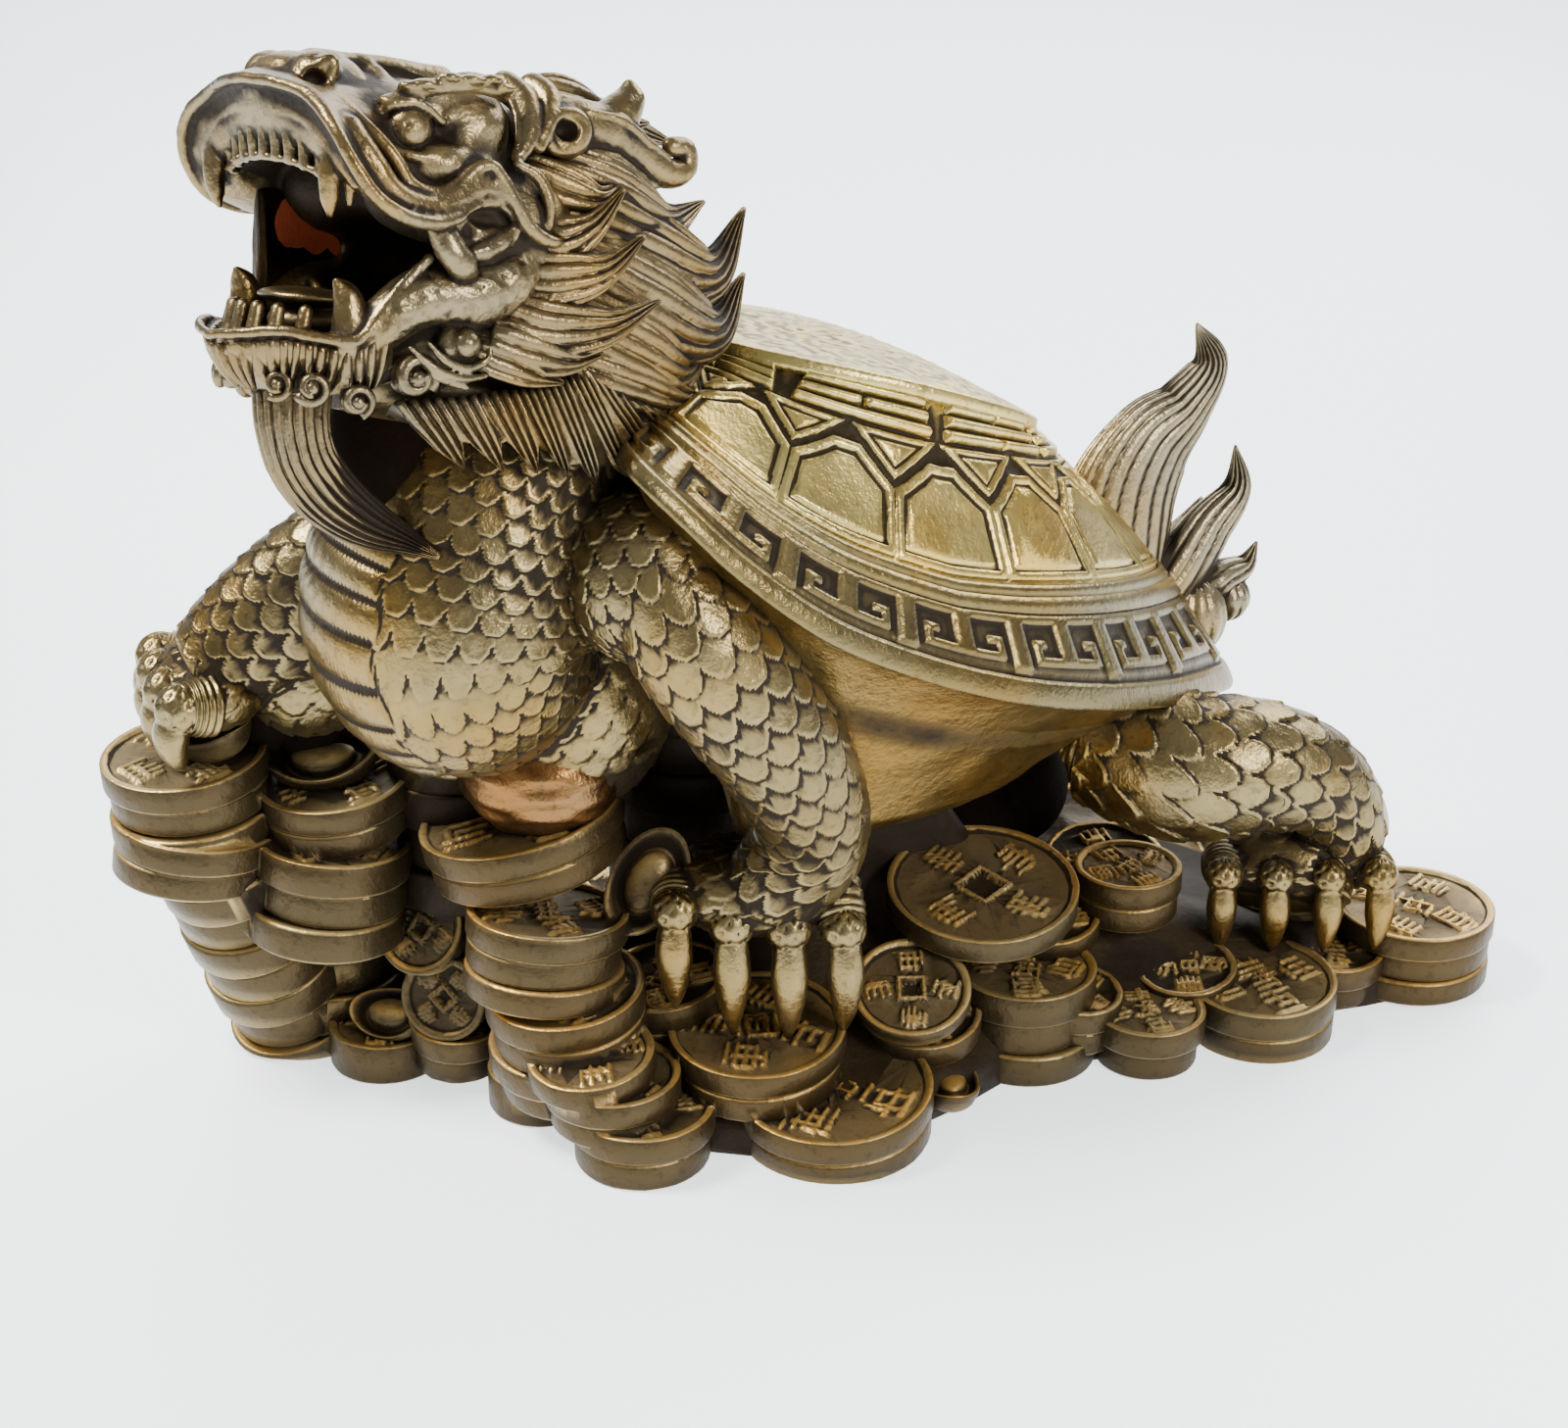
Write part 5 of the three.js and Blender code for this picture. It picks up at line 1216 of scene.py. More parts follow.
def head_horn(clay):
    clay.rope([[-4, 15.5, 28], [-9, 17.6, 29], [-15, 18, 28.4], [-21, 18, 26.2], [-26.6, 18, 23.8],
               [-31, 18, 22.8], [-34, 18, 24.2], [-33.6, 18, 27.2], [-30.6, 18, 27.6]],
              [4.8, 4.7, 4.3, 3.7, 3.1, 2.7, 2.4, 2.2, 1.8], 0.6)
    clay.rope([[-14.6, 18, 29], [-18.4, 18, 32], [-20.2, 18, 34.6], [-20, 18, 37]], [4.2, 3.8, 2.8, 1.2], 0.8)
    clay.rope([[-9, 19.6, 25], [-16, 20.2, 23.4], [-23, 19.6, 20.8], [-28, 18, 20.6]],
              [1.6, 2.0, 1.6, 0.8], 0.4)
    clay.rope([[-9, 21.6, 31.4], [-16, 22, 30.6], [-23, 21, 27.6], [-28.5, 20.4, 25.4]],
              [0.5, 0.9, 0.8, 0.4], 0.5)


def head_jaw(clay):
    """Smooth convex band from the corner of the mouth to the back of the jaw."""
    clay.rope([[33, 15.6, -13.4], [28.5, 18, -8], [22, 20, -2.6], [14, 21.2, -1.4], [7, 21.8, 1.4],
               [1, 21.6, 5]],
              [2.2, 4.2, 5.0, 5.8, 5.8, 4.4], 1.8)


def head_chin(clay):
    """Chin, pitted jaw, boss with leaves under it, and the folds at the corner of the mouth."""
    clay.ball((35, 0, -15.5), (9.5, 11, 3.6), 1.5)
    clay.relief((1, 21, -12), (31, 31, 6),
                lambda f, s, k: -0.2 * ramp(0.2, 0.5, head_grain(f, s * 0.4, k, 1.2)))
    clay.ball((15.3, 23.2, -9.8), (4.6, 2.4, 3.6), 1.0)
    clay.ball((15.6, 25, -9.4), 2.5, 0.2)
    for leaf in ([[25.6, 23.6, -10.8], [21.5, 24.6, -13.8], [15.8, 25, -15.3], [10.8, 25, -14.6]],
                 [[24.1, 23.4, -12.6], [20, 24.2, -15.4], [14.3, 24.4, -16.8]],
                 [[22.5, 24, -9.7], [19.5, 24.8, -12.3], [14.9, 25.2, -13.6], [11.4, 25.4, -11.9],
                  [10.6, 25.4, -9]]):
        clay.rope(leaf, [0.4] + [0.8] * (len(leaf) - 2) + [0.5], 0.4)
    clay.rope([[-0.8, 27, 9], [-1.6, 27.2, 5.1], [-0.8, 26.8, 0.8], [1.7, 26.2, -3.5], [5.4, 25.2, -6]],
              0.9, 0.5)
    clay.ball((14, 23.4, 9), (7, 3.2, 5), 1.5)
    clay.ball((14.4, 28, 11.2), (4.6, 3.2, 1.7), 0.7, cut=True)
    clay.ball((17.6, 28, 9.2), (1.8, 2.8, 2.4), 0.7, cut=True)
    clay.rope([[17, 25.6, 5.4], [14, 26, 6.2], [10.8, 26, 8], [8.9, 25.8, 9.8]], [1.2, 1.9, 1.8, 1.2], 0.5)
    clay.rope([[22.8, 25.2, 9.8], [21, 26, 6.2], [18.6, 26.5, 3.6], [16.2, 26.4, 2.4]],
              [2.2, 2.7, 2.6, 1.0], 0.4)
    clay.rope([[11.4, 26.4, 14], [9.3, 26.5, 12.7], [7.9, 26.4, 9.8], [8.8, 26.2, 7.4]],
              [0.8, 0.8, 0.7, 0.5], 0.4)


def cheek():
    """Dark back of the mouth and the skin inside its right corner."""
    path = [[-4, 4, 2], [-2, -12, 3], [16, -18.6, 2.5], [31, -17.5, 1.5]]
    return sweep(on_head(path), [[4, 13], [4, 14], [2.6, 13.5], [1.8, 11.5]], up=HEAD_AXES[2], around=60,
                 along=60)


def head():
    clay = Clay()
    for shape in (head_skull, head_eyes, head_nose, head_jaw, head_lips, head_teeth, head_ears, head_horn,
                  head_chin):
        shape(clay)
    return clay.mesh()


# Hair
def lock(path, width, thick, strand_count=9, facing=(0, 1, 0), around=110, along=60):
    """Tuft of hair in the head's frame, with strands that run together at its tip."""
    sizes = [[width * 0.9, thick], [width * 1.1, thick], [width * 0.95, thick * 0.9],
             [width * 0.5, thick * 0.6], [0.5, 0.5]]
    grooves = round(strand_count * 1.4)
    return sweep(on_head(path), sizes, up=np.array(facing, float) @ HEAD_AXES, around=around, along=along,
                 relief=lambda u, v: strands(u + 0.015 * np.sin(5 * v), grooves, 1.0) * ramp(1, 0.95, v))


def fringe(roots, middles, tips, count, groups, thick=3.0, depth=0.75, points=30, per=8, ragged=0.16):
    """Sheet of hair in fine ridges from a line of roots to a line of tips, where they gather in groups."""
    u = np.linspace(0, 1, count * per + 1)
    off = (u * groups) % 1 - 0.5
    gather = np.clip(u - off / groups * 0.5, 0, 1)
    lines = [spline(on_head(line), share) for line, share in ((roots, u), (middles, u), (tips, gather))]
    reach = 1 - ragged * np.abs(2 * off) ** 1.5 * (1 + 0.5 * np.sin(9 * u)) - 0.01
    v = np.linspace(0, 1, points)[None, :] * reach[:, None]
    a, b, c = (line[:, None] for line in lines)
    w = v[..., None]
    front = a * (1 - w) ** 2 + 2 * b * w * (1 - w) + c * w * w
    along = np.gradient(front, axis=1)
    across = np.gradient(front, axis=0)
    normal = unit(np.cross(across, along))
    if (normal * (front - HEAD_CENTRE - [0, 10, -5])).sum() < 0:
        normal = -normal
    ridge = np.abs(np.sin(u * count * np.pi))[:, None] ** 0.8
    end = ramp(1.0, 0.94, np.linspace(0, 1, points))[None, :]
    front = front + normal * ((ridge * depth * 1.4 - depth) * end)[..., None]
    back = front - normal * (thick * (0.15 + 0.85 * end))[..., None]
    return skin(np.concatenate([front, back[:, ::-1]], axis=1))


# Tufts of the mane's left side, as path from root to tip, half width, half thickness and strands
MANE = [
    [[[3, 19, 20], [-4, 22.5, 17.5], [-10, 24.5, 16.6], [-16, 23.5, 20]], 4.4, 3, 6],
    [[[3, 21, 10], [-1, 25, 8.5], [-6.4, 27.6, 11.4], [-12.8, 28, 18.6]], 4.6, 3, 7],
    [[[4, 22, 2], [-1.7, 26, 2.8], [-9, 28.8, 4.6], [-18, 28.3, 11.2]], 5, 3.2, 8],
    [[[6, 23, -5], [1, 25.8, -6], [-11, 28.4, -5], [-23, 27.8, 0.4]], 5.4, 3.4, 8],
    [[[10, 23.5, -8], [3, 26, -9.5], [-4.5, 27.3, -11], [-11.6, 27.3, -9.6]], 4.2, 3, 6],
    [[[12, 22.5, -10], [7, 25, -11.5], [1.5, 26.3, -13.9], [-4.4, 26.2, -15]], 3.8, 2.8, 6],
    [[[0, 17, 20], [-14, 21, 17], [-29, 19, 13.6], [-41, 15.8, 18.6]], 7, 4, 10],
    [[[-8, 17, 14], [-24, 19.6, 8.6], [-42, 17.6, 5.6], [-53, 13.4, 18.4]], 8.2, 4.6, 11],
    [[[-8, 19, 6], [-24, 21.6, 0], [-42, 19.6, -4.6], [-52.4, 15.6, 6.4]], 8.2, 4.6, 11],
    [[[-8, 20, -3], [-22, 23, -8], [-34, 21, -12], [-44, 17.6, -6]], 7, 4.4, 10],
    [[[-6, 19, -10], [-20, 22.8, -13], [-34, 21.4, -17], [-48.4, 17, -18]], 6.4, 4, 9],
    [[[-2, 12, 31], [-10, 12, 30.6], [-20, 11, 30], [-32, 9, 31.6]], 6.5, 4, 8],
]


def volute(centre, radius, face, start, turns=1.2, side=1):
    """Flat curl of hair wound round a small knob."""
    centre, face = on_side(centre, side), unit(on_side(face, side))
    up = unit(np.cross(face, [1, 0, 0.01]))
    across = np.cross(up, face) * side
    share = np.linspace(0, 1, 24)[:, None]
    angle = start + share * turns * 2 * math.pi
    reach = radius * (0.8 - 0.5 * share)
    path = centre + reach * (np.cos(angle) * across + np.sin(angle) * up) + face * radius * 0.3 * share
    sizes = [[radius * 0.3, radius * 0.36], [radius * 0.24, radius * 0.3]]
    hair = sweep(on_head(path), sizes, up=face @ HEAD_AXES, around=20, along=110)
    back = ball(on_head(centre - face * radius * 0.5), [radius * 0.8] * 3, 30, 18)
    knob = ball(on_head(centre + face * radius * 0.3), [radius * 0.34] * 3, 20, 12)
    return [hair, back, knob]


# Curls under the jaw, as centre, radius, the way they face and the angle they start at
CURLS = [[[41.4, 9, -18.8], 2.9, (0.7, 0.7, 0), 1.0], [[38, 14.2, -18.8], 3.3, (0.5, 0.85, 0), 0.5],
         [[31.3, 17.4, -20.4], 3.2, (0.3, 0.95, -0.1), 2.0], [[23.4, 22, -15.6], 4.4, (0.15, 1, -0.1), 2.6]]
# Short hair on the chin, as lines of roots, middles and tips
CHIN_HAIR = [
    [[49, 0, -13.2], [46.8, 6.6, -12.2], [42.8, 12.6, -11.4], [38.2, 16.2, -12], [33.4, 19.4, -12.2],
     [28, 21.6, -8]],
    [[48.6, 0, -17.4], [46, 6, -16.8], [42, 11.8, -16.4], [37.6, 15, -16.8], [32, 18, -17.2],
     [27, 21, -13.6]],
    [[42.5, 0, -20.6], [41.4, 3.6, -20.8], [39, 7.4, -20.8], [35.8, 10.4, -20.6], [31, 14.4, -20],
     [26.6, 19.4, -17.6]],
]


def mane():
    solids = [hairy_ball(on_head([-24, 0, -2]), [17, 20, 26], 120, 60, count=46, depth=0.6, axes=HEAD_AXES)]
    for path, width, thick, count in MANE:
        solids += [lock(on_side(path, side), width, thick, count, (0, side, 0)) for side in (1, -1)]
    solids.append(lock([[-8, 0, 31], [-18, 0, 32], [-30, 0, 31.5], [-46, 0, 29]], 9, 4.5, 10, (0, 0, 1)))
    return solids


def ruff():
    """Fringe under the jaw, chin hair and curls on both sides, and the throat that carries them."""
    roots = [[24, 17.6, -20], [12.9, 20.6, -18.4], [2.8, 22.5, -16.6], [-4.7, 23.5, -14.6],
             [-10.9, 24, -12.6], [-15.5, 23.6, -10.6], [-19.8, 22.6, -8.6]]
    tips = [[12, 16.4, -31.2], [2.1, 20, -31.6], [-7.3, 22, -31.6], [-15.7, 23.5, -32.8], [-26.5, 23, -30.6],
            [-40.5, 20.6, -27], [-49, 17.4, -18.6]]
    middles = mix(np.array(roots), np.array(tips), 0.4) + [2, 5, -1.5]
    solids = []
    for side in (1, -1):
        solids.append(fringe(*[on_side(line, side) for line in (roots, middles, tips)], 32, 9, 5, 0.95,
                             ragged=0.3))
        solids.append(fringe(*[on_side(line, side) for line in CHIN_HAIR], 14, 4, 3, 0.9, ragged=0.05))
        for curl in CURLS:
            solids += volute(*curl, side=side)
    solids.append(sweep(on_head([[-30, 0, -12], [-10, 0, -16], [10, 0, -18], [26, 0, -18]]),
                        [[17, 7], [20, 8], [18, 7], [12, 5]], up=HEAD_AXES[2], around=60, along=30))
    return solids


def beard():
    path = [[36, 1, -14], [34.3, 1.5, -19], [33.9, 2, -25.7], [31.5, 2, -32], [25.4, 1.5, -38],
            [18, 2.8, -42.6], [12.9, 6.3, -45], [8.6, 12, -47.4]]
    sizes = [[8, 5], [7.6, 5], [7, 4.8], [6.6, 4.4], [6, 4], [4.6, 3.2], [2.8, 2.2], [0.5, 0.5]]
    return sweep(on_head(path), sizes, up=HEAD_AXES[1], around=170, along=110,
                 relief=lambda u, v: strands(u, 20, 0.8) * ramp(1, 0.97, v))


# Tail of flames
def flame(points, sizes, count, around=72, along=60):
    return sweep(points, sizes, up=(1, 0, 0), around=around, along=along,
                 relief=lambda u, v: strands(u + 0.02 * np.sin(9 * v), count) * ramp(1.0, 0.9, v))


def tail():
    """Four flames, the tallest in front, out of three curly lumps."""
    return [
        flame([[0, 74, 72], [0, 72, 92], [0, 75, 106], [0, 82, 117], [0, 90, 124], [0, 96, 133],
               [0, 92, 142]],
              [[13, 7], [15, 7], [14.5, 6], [11.5, 5], [7.5, 4], [4.6, 2.6], [0.3, 0.3]], 20, 170, 100),
        flame([[2, 84, 80], [2, 96, 95], [2, 104, 104], [2, 103, 114]],
              [[8, 6], [6.4, 4.5], [3.6, 3], [0.3, 0.3]], 12, 110),
        flame([[-4, 84, 80], [-5, 95, 91], [-6, 101, 100]], [[8, 6], [5, 4], [0.3, 0.3]], 10),
        flame([[3, 92, 80], [3, 100, 84], [3, 107, 86], [3, 110, 91]],
              [[6, 5], [4.4, 4], [2.8, 2.4], [0.3, 0.3]], 8),
        hairy_ball([4, 93, 77], [7, 8, 9], 90, 40, count=12),
        hairy_ball([2, 103, 79], [6, 5.5, 5.5], 80, 30, count=10),
        hairy_ball([0, 86, 72], [10, 10, 12], 90, 40, count=16),
    ]


# Coins and ingots
COIN_THICKNESS = 5.6
COIN_RIM = 1.7
COIN_SUNK = 0.85
STROKE_HEIGHT = 0.75
STROKE_WIDTH = 0.62
HOLE_SHARE = 0.2
TOP_POINTS = 168
LOWER_POINTS = 40


def placed(points, place, facing=0, lean=0, towards=0):
    """Points turned by facing, leaned some degrees towards a compass direction, and moved to a place."""
    f, l, t = (math.radians(value) for value in (facing, lean, towards))
    spin = np.array([[math.cos(f), -math.sin(f), 0], [math.sin(f), math.cos(f), 0], [0, 0, 1]])
    x, y = -math.sin(t), math.cos(t)
    c, s = math.cos(l), math.sin(l)
    tilt = np.array([[c + x * x * (1 - c), x * y * (1 - c), y * s],
                     [x * y * (1 - c), c + y * y * (1 - c), -x * s], [-y * s, x * s, c]])
    return points @ (tilt @ spin).T + np.array(place, float)


def stroke_field(x, y, strokes, width):
    """Height from 0 to 1 of straight strokes, each given as two ends."""
    height = np.zeros(x.shape)
    for ax, ay, bx, by in strokes:
        dx, dy = bx - ax, by - ay
        t = np.clip(((x - ax) * dx + (y - ay) * dy) / max(dx * dx + dy * dy, 1e-6), 0, 1)
        reach = np.hypot(x - ax - t * dx, y - ay - t * dy)
        height = np.maximum(height, ramp(width, width * 0.35, reach))
    return height


def coin_strokes(rng, radius, hole):
    """Groups of short strokes round the hole, or all over the face. They are no letters."""
    strokes = []
    for quarter in range(4 if hole else 5):
        angle = quarter * math.pi / 2 + rng.uniform(-0.12, 0.12)
        out = (0.57 if quarter < 4 else 0) * radius
        centre = np.array([out * math.cos(angle), out * math.sin(angle)])
        reach = (0.2 if hole else 0.24) * radius
        tilt = rng.uniform(-0.35, 0.35)
        along = reach * np.array([math.cos(tilt), math.sin(tilt)])
        over = np.array([-along[1], along[0]])
        for level in np.linspace(-0.9, 0.9, rng.integers(4, 6)):
            row = centre + over * level
            a, b = row - along * rng.uniform(0.3, 1), row + along * rng.uniform(0.3, 1)
            strokes.append((*a, *b))
        for _ in range(3):
            side = along * rng.uniform(-0.8, 0.8)
            a, b = centre + side - over * rng.uniform(0.1, 1), centre + side + over * rng.uniform(0.1, 1)
            strokes.append((*a, *b))
    return strokes


def coin_face(radius, rng, around, hole=True):
    """Rings of one coin's top face, from its edge to its middle, with a rim, a square hole and strokes."""
    edge = radius - COIN_RIM
    steps = np.concatenate([[radius, radius - 0.25, edge + 0.35, edge - 0.15],
                            np.linspace(edge - 0.6, 0.4, int(edge / 0.5))])
    turn = np.arange(around) / around * 2 * np.pi
    r, a = np.meshgrid(steps, turn, indexing="ij")
    x, y = r * np.cos(a), r * np.sin(a)
    z = np.where(r > radius - 0.1, -0.3, 0.0) - COIN_SUNK * ramp(edge + 0.4, edge - 0.2, r)
    half = HOLE_SHARE * radius
    square = np.maximum(np.abs(x), np.abs(y))
    relief = STROKE_HEIGHT * stroke_field(x, y, coin_strokes(rng, radius, hole), STROKE_WIDTH)
    if hole:
        border = STROKE_HEIGHT * ramp(0.8, 0.35, np.abs(square - half))
        relief = np.maximum(relief * ramp(half + 0.6, half + 1.2, square), border)
        relief = relief - 0.7 * ramp(half - 0.2, half - 0.9, square)
    return np.stack([x, y, z + np.where(r < edge - 0.3, relief, 0)], -1)


def circles(profile, around):
    """Level rings of points, one for each (radius, height)."""
    a = np.arange(around) / around * 2 * np.pi
    return np.stack([np.stack([r * np.cos(a), r * np.sin(a), np.full(around, z)], -1) for r, z in profile])


def coin_stack(place, radius, count=1, seed=0, thickness=COIN_THICKNESS, hole=False, facing=None, lean=0,
               towards=0):
    """Stack of coins under the place of its top face. Only the top coin has a struck face."""
    rng = np.random.default_rng(SEED * 1000 + seed)
    solids = []
    for i in range(count):
        around = LOWER_POINTS if i else TOP_POINTS
        own = radius - (i % 2) * rng.uniform(0.4, 1.3)
        turn = rng.uniform(0, 360) if facing is None else facing
        side = circles([(own - 0.9, -thickness - 0.1), (own - 0.25, -thickness + 0.35),
                        (own, -thickness + 0.9), (own, -0.8)], around)
        if i:
            face = circles([(own - 0.3, -0.1), (own - 1, 0), (own - 2, -0.3), (1, -0.3)], around)
            shift = rng.uniform(-0.7, 0.7, 2)
        else:
            face = coin_face(own, rng, around, hole)
            shift = np.zeros(2)
        grid = np.concatenate([side, face]) + [shift[0], shift[1], -thickness * i]
        solids.append(skin(placed(grid, place, turn, lean, towards)))
    return solids


# Profile of an ingot from the underside over the rim to the dome, as shares of its half length
INGOT_PROFILE = [[0.05, -0.52], [0.4, -0.5], [0.8, -0.32], [1, 0.02], [0.98, 0.08], [0.88, 0.08],
                 [0.72, -0.05], [0.6, -0.04], [0.52, 0.14], [0.3, 0.26], [0.05, 0.3]]
INGOT_WIDTH = 0.66
INGOT_END_RISE = 0.25


def ingot(place, length, **pose):
    """Boat-shaped ingot: an oval dish with upturned ends and a dome standing in it."""
    profile = spline(INGOT_PROFILE, np.linspace(0, 1, 44))
    angle = np.arange(48) / 48 * 2 * np.pi
    x = profile[:, :1] * np.cos(angle)
    y = profile[:, :1] * np.sin(angle) * INGOT_WIDTH
    rows = np.stack([x, y, profile[:, 1:] + INGOT_END_RISE * x * x], -1) * length
    return skin(placed(rows, place, **pose))


# Stacks as place of the top face, radius, number of coins and how they stand
SEEN_COINS = [
    [[46, 127, 17.4], 17.5, 3, {}],
    [[49, 83, 12.5], 16.5, 2, dict(thickness=6.4, lean=3, towards=-30)],
    [[48, 55, 12], 12, 2, dict(thickness=6)],
    [[34, 33, 21], 15, 3, dict(thickness=7)],
    [[42, -17, 11.5], 20, 2, dict(lean=5, towards=-45)],
    [[30, -28, 22], 18, 2, dict(lean=6, towards=-35)],
    [[31, -54, 12], 14.5, 2, dict(thickness=6)],
    [[28, -59, 19], 13.6, 2, {}],
    [[27, -63, 24], 12.6, 1, dict(lean=8, towards=-60)],
    [[38, 3, 26], 12.2, 1, dict(hole=True, lean=24, towards=-30, thickness=4)],
    [[26, 27, 38], 20, 1, dict(hole=True, lean=10, towards=-25)],
    [[27, 63, 34], 11.5, 2, {}],
    [[-2, -64, 64], 20.5, 2, dict(lean=12, towards=-120)],
    [[11, -64, 48], 16, 3, dict(lean=8, towards=120)],
    [[15, -63, 33], 16, 4, dict(lean=6, towards=-60, thickness=6)],
    [[-28, -93, 67], 15.6, 2, dict(lean=5, towards=-70)],
    [[-25, -95, 55], 16, 3, dict(lean=8, towards=100, thickness=7)],
    [[-38, -120, 74], 16.4, 3, dict(lean=4, towards=-60)],
    [[-36, -119, 59], 16, 2, dict(lean=10, towards=100)],
    [[-36, -115, 52], 14.5, 7, dict(lean=22, towards=-58, thickness=8)],
    [[-8, -80, 22], 9, 1, dict(hole=True, lean=78, towards=-40, thickness=4)],
    [[-14, -82, 36], 9.5, 1, dict(hole=True, lean=60, towards=-50, thickness=4)],
    [[4, -64, 9], 11, 1, dict(thickness=9)],
    [[-27, -86, 9], 12, 1, dict(thickness=9)],
]
HIDDEN_COINS = [
    [[-2, 124, 11], 17, 2, {}],
    [[-30, 120, 16], 17, 3, {}],
    [[21, 110, 15], 15, 2, dict(thickness=7.5)],
    [[-49.5, 92, 12.5], 16, 2, dict(thickness=6.3)],
    [[-50, 58, 14], 15, 2, dict(thickness=7)],
    [[-42, 28, 22], 17, 3, dict(thickness=7.4)],
    [[-49, -2, 12], 16, 2, dict(thickness=6)],
    [[-48, -34, 18], 17, 3, dict(thickness=6)],
    [[-49, -66, 17], 17, 3, {}],
]
# Stacks in the dark under the belly and the right front leg
CORE_COINS = [
    [[-45, -90, 62], 15, 8, dict(thickness=8)],
    [[-22, -68, 84], 15, 9, dict(thickness=9)],
    [[-14, -20, 82], 19, 9, dict(thickness=8.8)],
]
# Coins that fill the hollows between the others
FILLING_COINS = [
    [[33, 8, 17], 13, 2, dict(lean=10, towards=-20)],
    [[40, 70, 14], 11, 2, dict(lean=8, towards=-60)],
    [[40, 42, 16], 10, 2, dict(lean=6, towards=20)],
    [[12, -40, 27], 13, 3, dict(lean=8, towards=-80)],
    [[3, -50, 22], 12, 3, dict(lean=10, towards=-60)],
    [[24, 44, 26], 12, 2, dict(lean=8, towards=-20)],
    [[14, 66, 30], 13, 2, dict(lean=6, towards=-30)],
    [[-14, -74, 14], 11, 2, dict(lean=6, towards=-40)],
    [[44, 106, 12], 12, 2, dict(lean=4, towards=-10)],
]
# Ingots as place, half length and how they stand
INGOTS = [
    [[-23, -86, 12], 9, dict(facing=40, lean=35, towards=-60)],
    [[-36, -115, 78], 11, dict(facing=20, lean=10, towards=-90)],
    [[-30, -94, 69], 12, dict(facing=60, lean=12, towards=-60)],
    [[17, -45, 52], 11.5, dict(facing=-62, lean=62, towards=-35)],
    [[46, 8, 5.6], 9, dict(facing=-28)],
]


# Outline of the heap from the front left corner to the rear and back up its right side, and its section as
# [share of the outline, height]
HEAP_OUTLINE = [[-48, -98], [-26, -84], [-10, -66], [20, -58], [36, -44], [50, -20], [47, 8], [42, 30],
                [48, 60], [50, 90], [54, 120], [44, 132], [14, 122], [-18, 126], [-42, 122], [-50, 92],
                [-48, 58], [-44, 26], [-48, -4], [-50, -40], [-52, -70], [-54, -92]]
HEAP_LEVELS = [[1, 0], [0.98, 8], [0.8, 13], [0.6, 19], [0.42, 26], [0.3, 34], [0.16, 62]]
HEAP_POINTS = 160


def heap():
    """Lumpy metal under the figure that the coins lie on."""
    outline = spline(HEAP_OUTLINE, np.arange(HEAP_POINTS) / HEAP_POINTS, closed=True)
    levels = spline(HEAP_LEVELS, np.linspace(0, 1, 50))
    rows = np.stack([np.column_stack([outline[:, 0] * s - 4 * (1 - s), outline[:, 1] * s,
                                      np.full(HEAP_POINTS, z)])
                     for s, z in levels])
    bump = grain(rows.reshape(-1, 3), 9).reshape(rows.shape[:2]) * np.minimum(levels[:, 1], 6)[:, None] * 0.22
    return skin(rows + sheet_normals(rows) * bump[..., None])


def coins(stacks, first_seed):
    solids = []
    for seed, (place, radius, count, pose) in enumerate(stacks, first_seed):
        solids += coin_stack(place, radius, count, seed, **pose)
    return solids


def ingots():
    return [ingot(place, length, **pose) for place, length, pose in INGOTS]


# Spots as (centre, radius): red clay in the mouth, on the neck and on the standing ingot, and black spots of
# painted shade that stand in for the shadow behind the chest, in the mouth and on the side of the heap that
# lies in shade
CLAY_SPOTS = [(on_head([f, -15.5, 6.6 + 0.15 * (f - 14)]), 4.6) for f in (9, 14.5, 20, 24)]
NECK_CLAY = [([20.0, -63.7, 125.8], 1.8)]
INGOT_CLAY = [([22.0, -41.6, 67.1], 3.0)]
TRUNK_PAINTED_SHADE = [([2, -50, 68], 19)]
MOUTH_PAINTED_SHADE = [(on_head([21, 0, 11]), 16), (on_head([25, 11, 12]), 10), (on_head([25, -11, 12]), 10)]
HEAP_PAINTED_SHADE = [([42, y, 35], 66) for y in (-80, -30, 20, 70)]

# The finishes. shade, sides and the spots of painted shade darken corners, upright faces and given places as
# painted shade.
brass_material("brass", wear=0.36, soak=0.85, clay=NECK_CLAY, painted_shade_spots=TRUNK_PAINTED_SHADE)
brass_material("head_brass", (0.225, 0.18, 0.1), (0.06, 0.046, 0.029), wear=0.42, soak=0.75, painted_shade_spots=MOUTH_PAINTED_SHADE)
brass_material("hair_brass", (0.2, 0.158, 0.09), (0.055, 0.042, 0.026), wear=0.4, soak=0.85)
brass_material("tail_brass", (0.27, 0.225, 0.14), (0.1, 0.08, 0.045), wear=0.5, soak=0.4, shade=0.6)
brass_material("stem_brass", (0.22, 0.125, 0.055), (0.08, 0.042, 0.02), wear=0.3)
brass_material("shell_brass", (0.6, 0.48, 0.17), (0.13, 0.1, 0.042), wear=0.65, soak=0.38, shade=0.3)
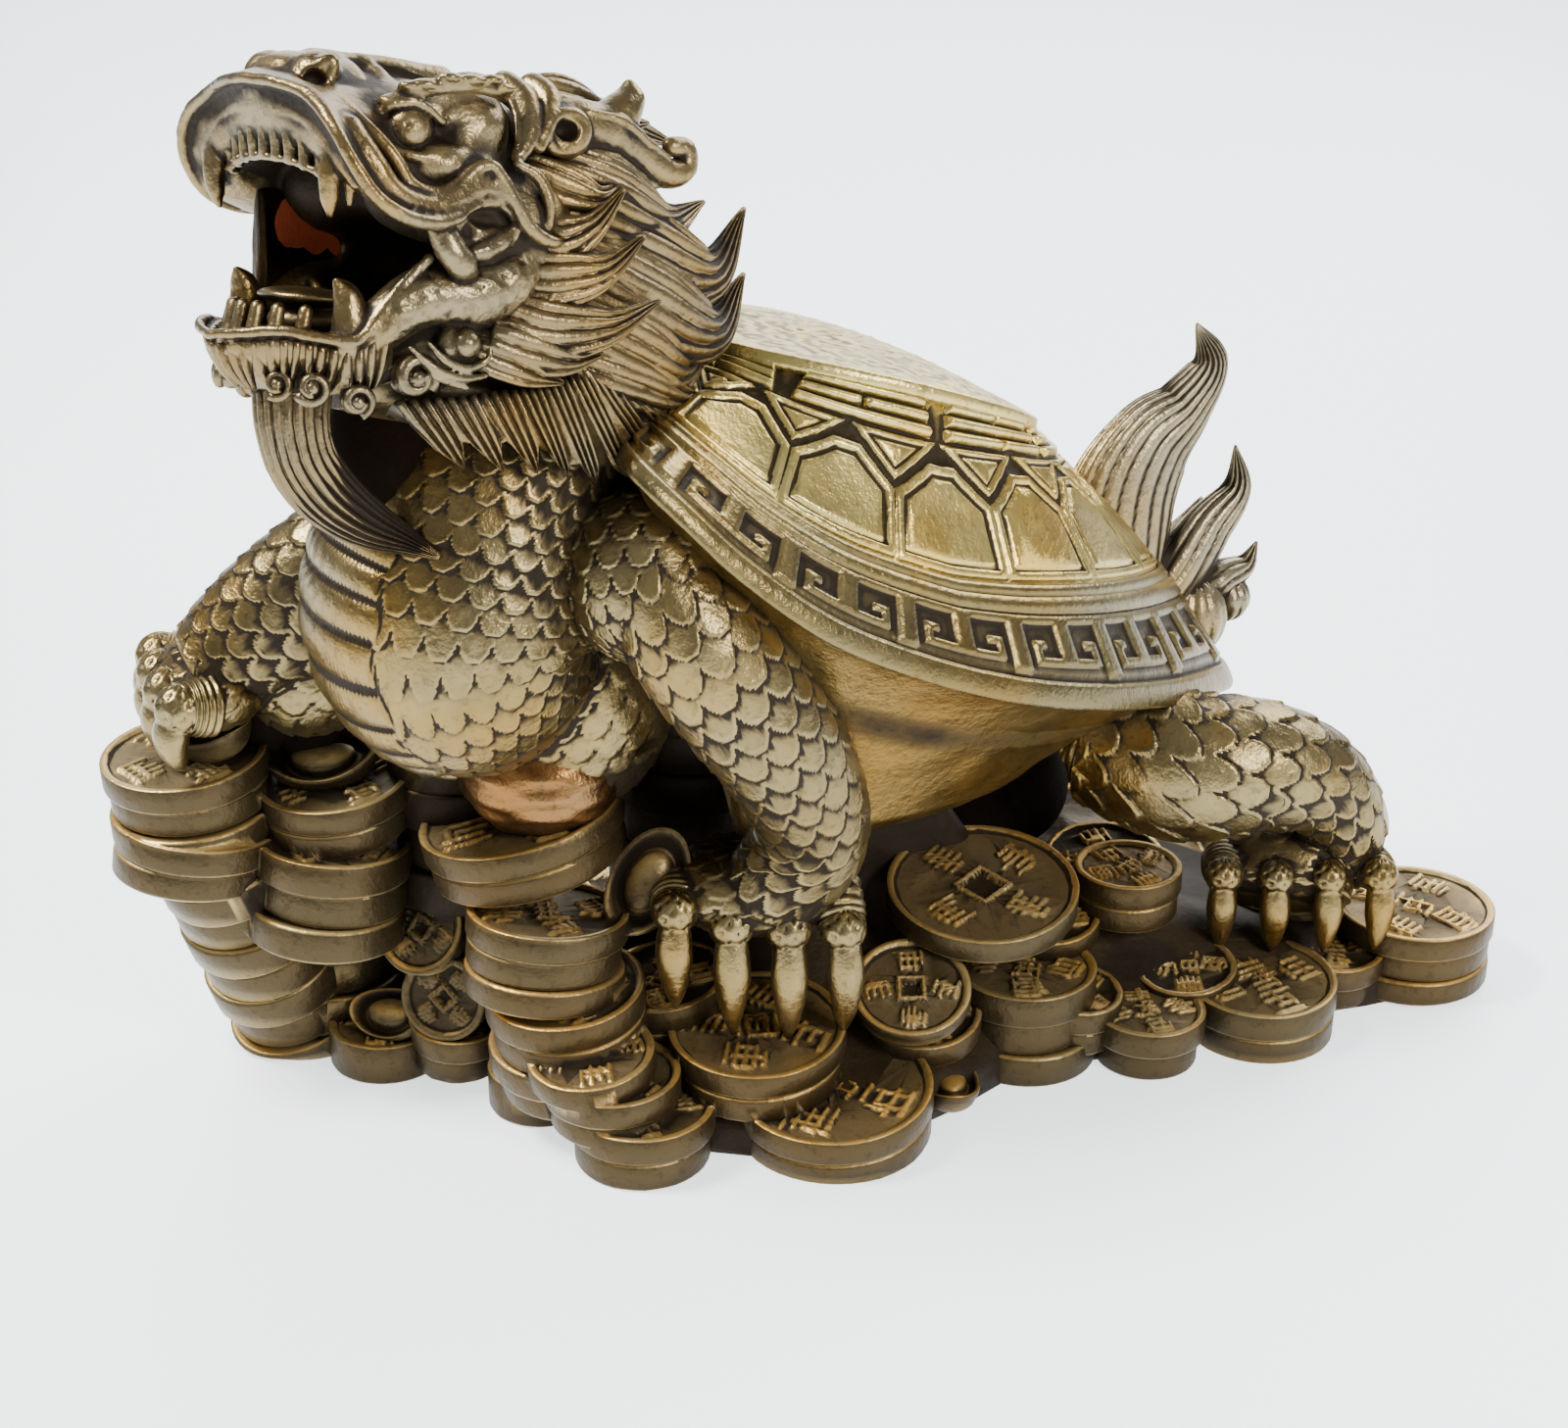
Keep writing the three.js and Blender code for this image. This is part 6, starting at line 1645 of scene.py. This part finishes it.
brass_material("rim_brass", (0.34, 0.275, 0.12), (0.12, 0.09, 0.045), wear=0.5, soak=0.25, shade=0.3,
               sides=0.6)
brass_material("skirt_brass", (0.25, 0.17, 0.055), (0.11, 0.07, 0.022), wear=0.4)
brass_material("coin_brass", (0.58, 0.43, 0.18), (0.2, 0.155, 0.085), wear=0.5, soak=0.19, shade=0.8,
               sides=0.17, shine=0.8, clay=INGOT_CLAY)
brass_material("heap_brass", (0.3, 0.225, 0.1), (0.1, 0.076, 0.042), sides=0.4, painted_shade_spots=HEAP_PAINTED_SHADE)
# Near-black finish for the lumps of painted shadow.
brass_material("painted_shadow_black", (0.007, 0.005, 0.004), (0.005, 0.004, 0.003), shine=0.05)
brass_material("dark_mouth", (0.05, 0.035, 0.02), (0.02, 0.014, 0.011), clay=CLAY_SPOTS)
camera()
studio()
piece("shell_rim", [shell_rim()], 170000, "rim_brass")
piece("shell_skirt", [shell_skirt()], 19000, "skirt_brass", roughen=0.5, grain_size=6)
piece("shell_dome", [shell_dome()], 115000, "shell_brass", roughen=0.05)
piece("chest", chest(), 108000)
piece("stem", [stem()], 6000, "stem_brass")
# The lumps of painted shadow.
piece("painted_shadow_lumps", painted_shadow_lumps(), 6000, "painted_shadow_black")
piece("front_legs", [front_leg_left(), front_leg_right(), shoulder(), elbow(), *paw(**PAW_LEFT),
                     *paw(**PAW_RIGHT)], 120000)
piece("hind_legs", [*hind_leg(1), *hind_leg(-1), *paw(**PAW_HIND_LEFT), *paw(**PAW_HIND_RIGHT)], 90000)
piece("head", [head()], 178000, "head_brass", roughen=0.3, grain_size=1.8)
piece("mouth", [cheek()], 6000, "dark_mouth")
piece("mane_and_beard", [*mane(), *ruff(), beard()], 104000, "hair_brass")
piece("tail", tail(), 30000, "tail_brass")
piece("front_coins", [*coins(SEEN_COINS, 0), *ingots()], 130000, "coin_brass")
piece("rear_coins", coins(HIDDEN_COINS + FILLING_COINS, 100), 36000, "coin_brass")
piece("heap", [heap(), *coins(CORE_COINS, 200)], 16000, "heap_brass")
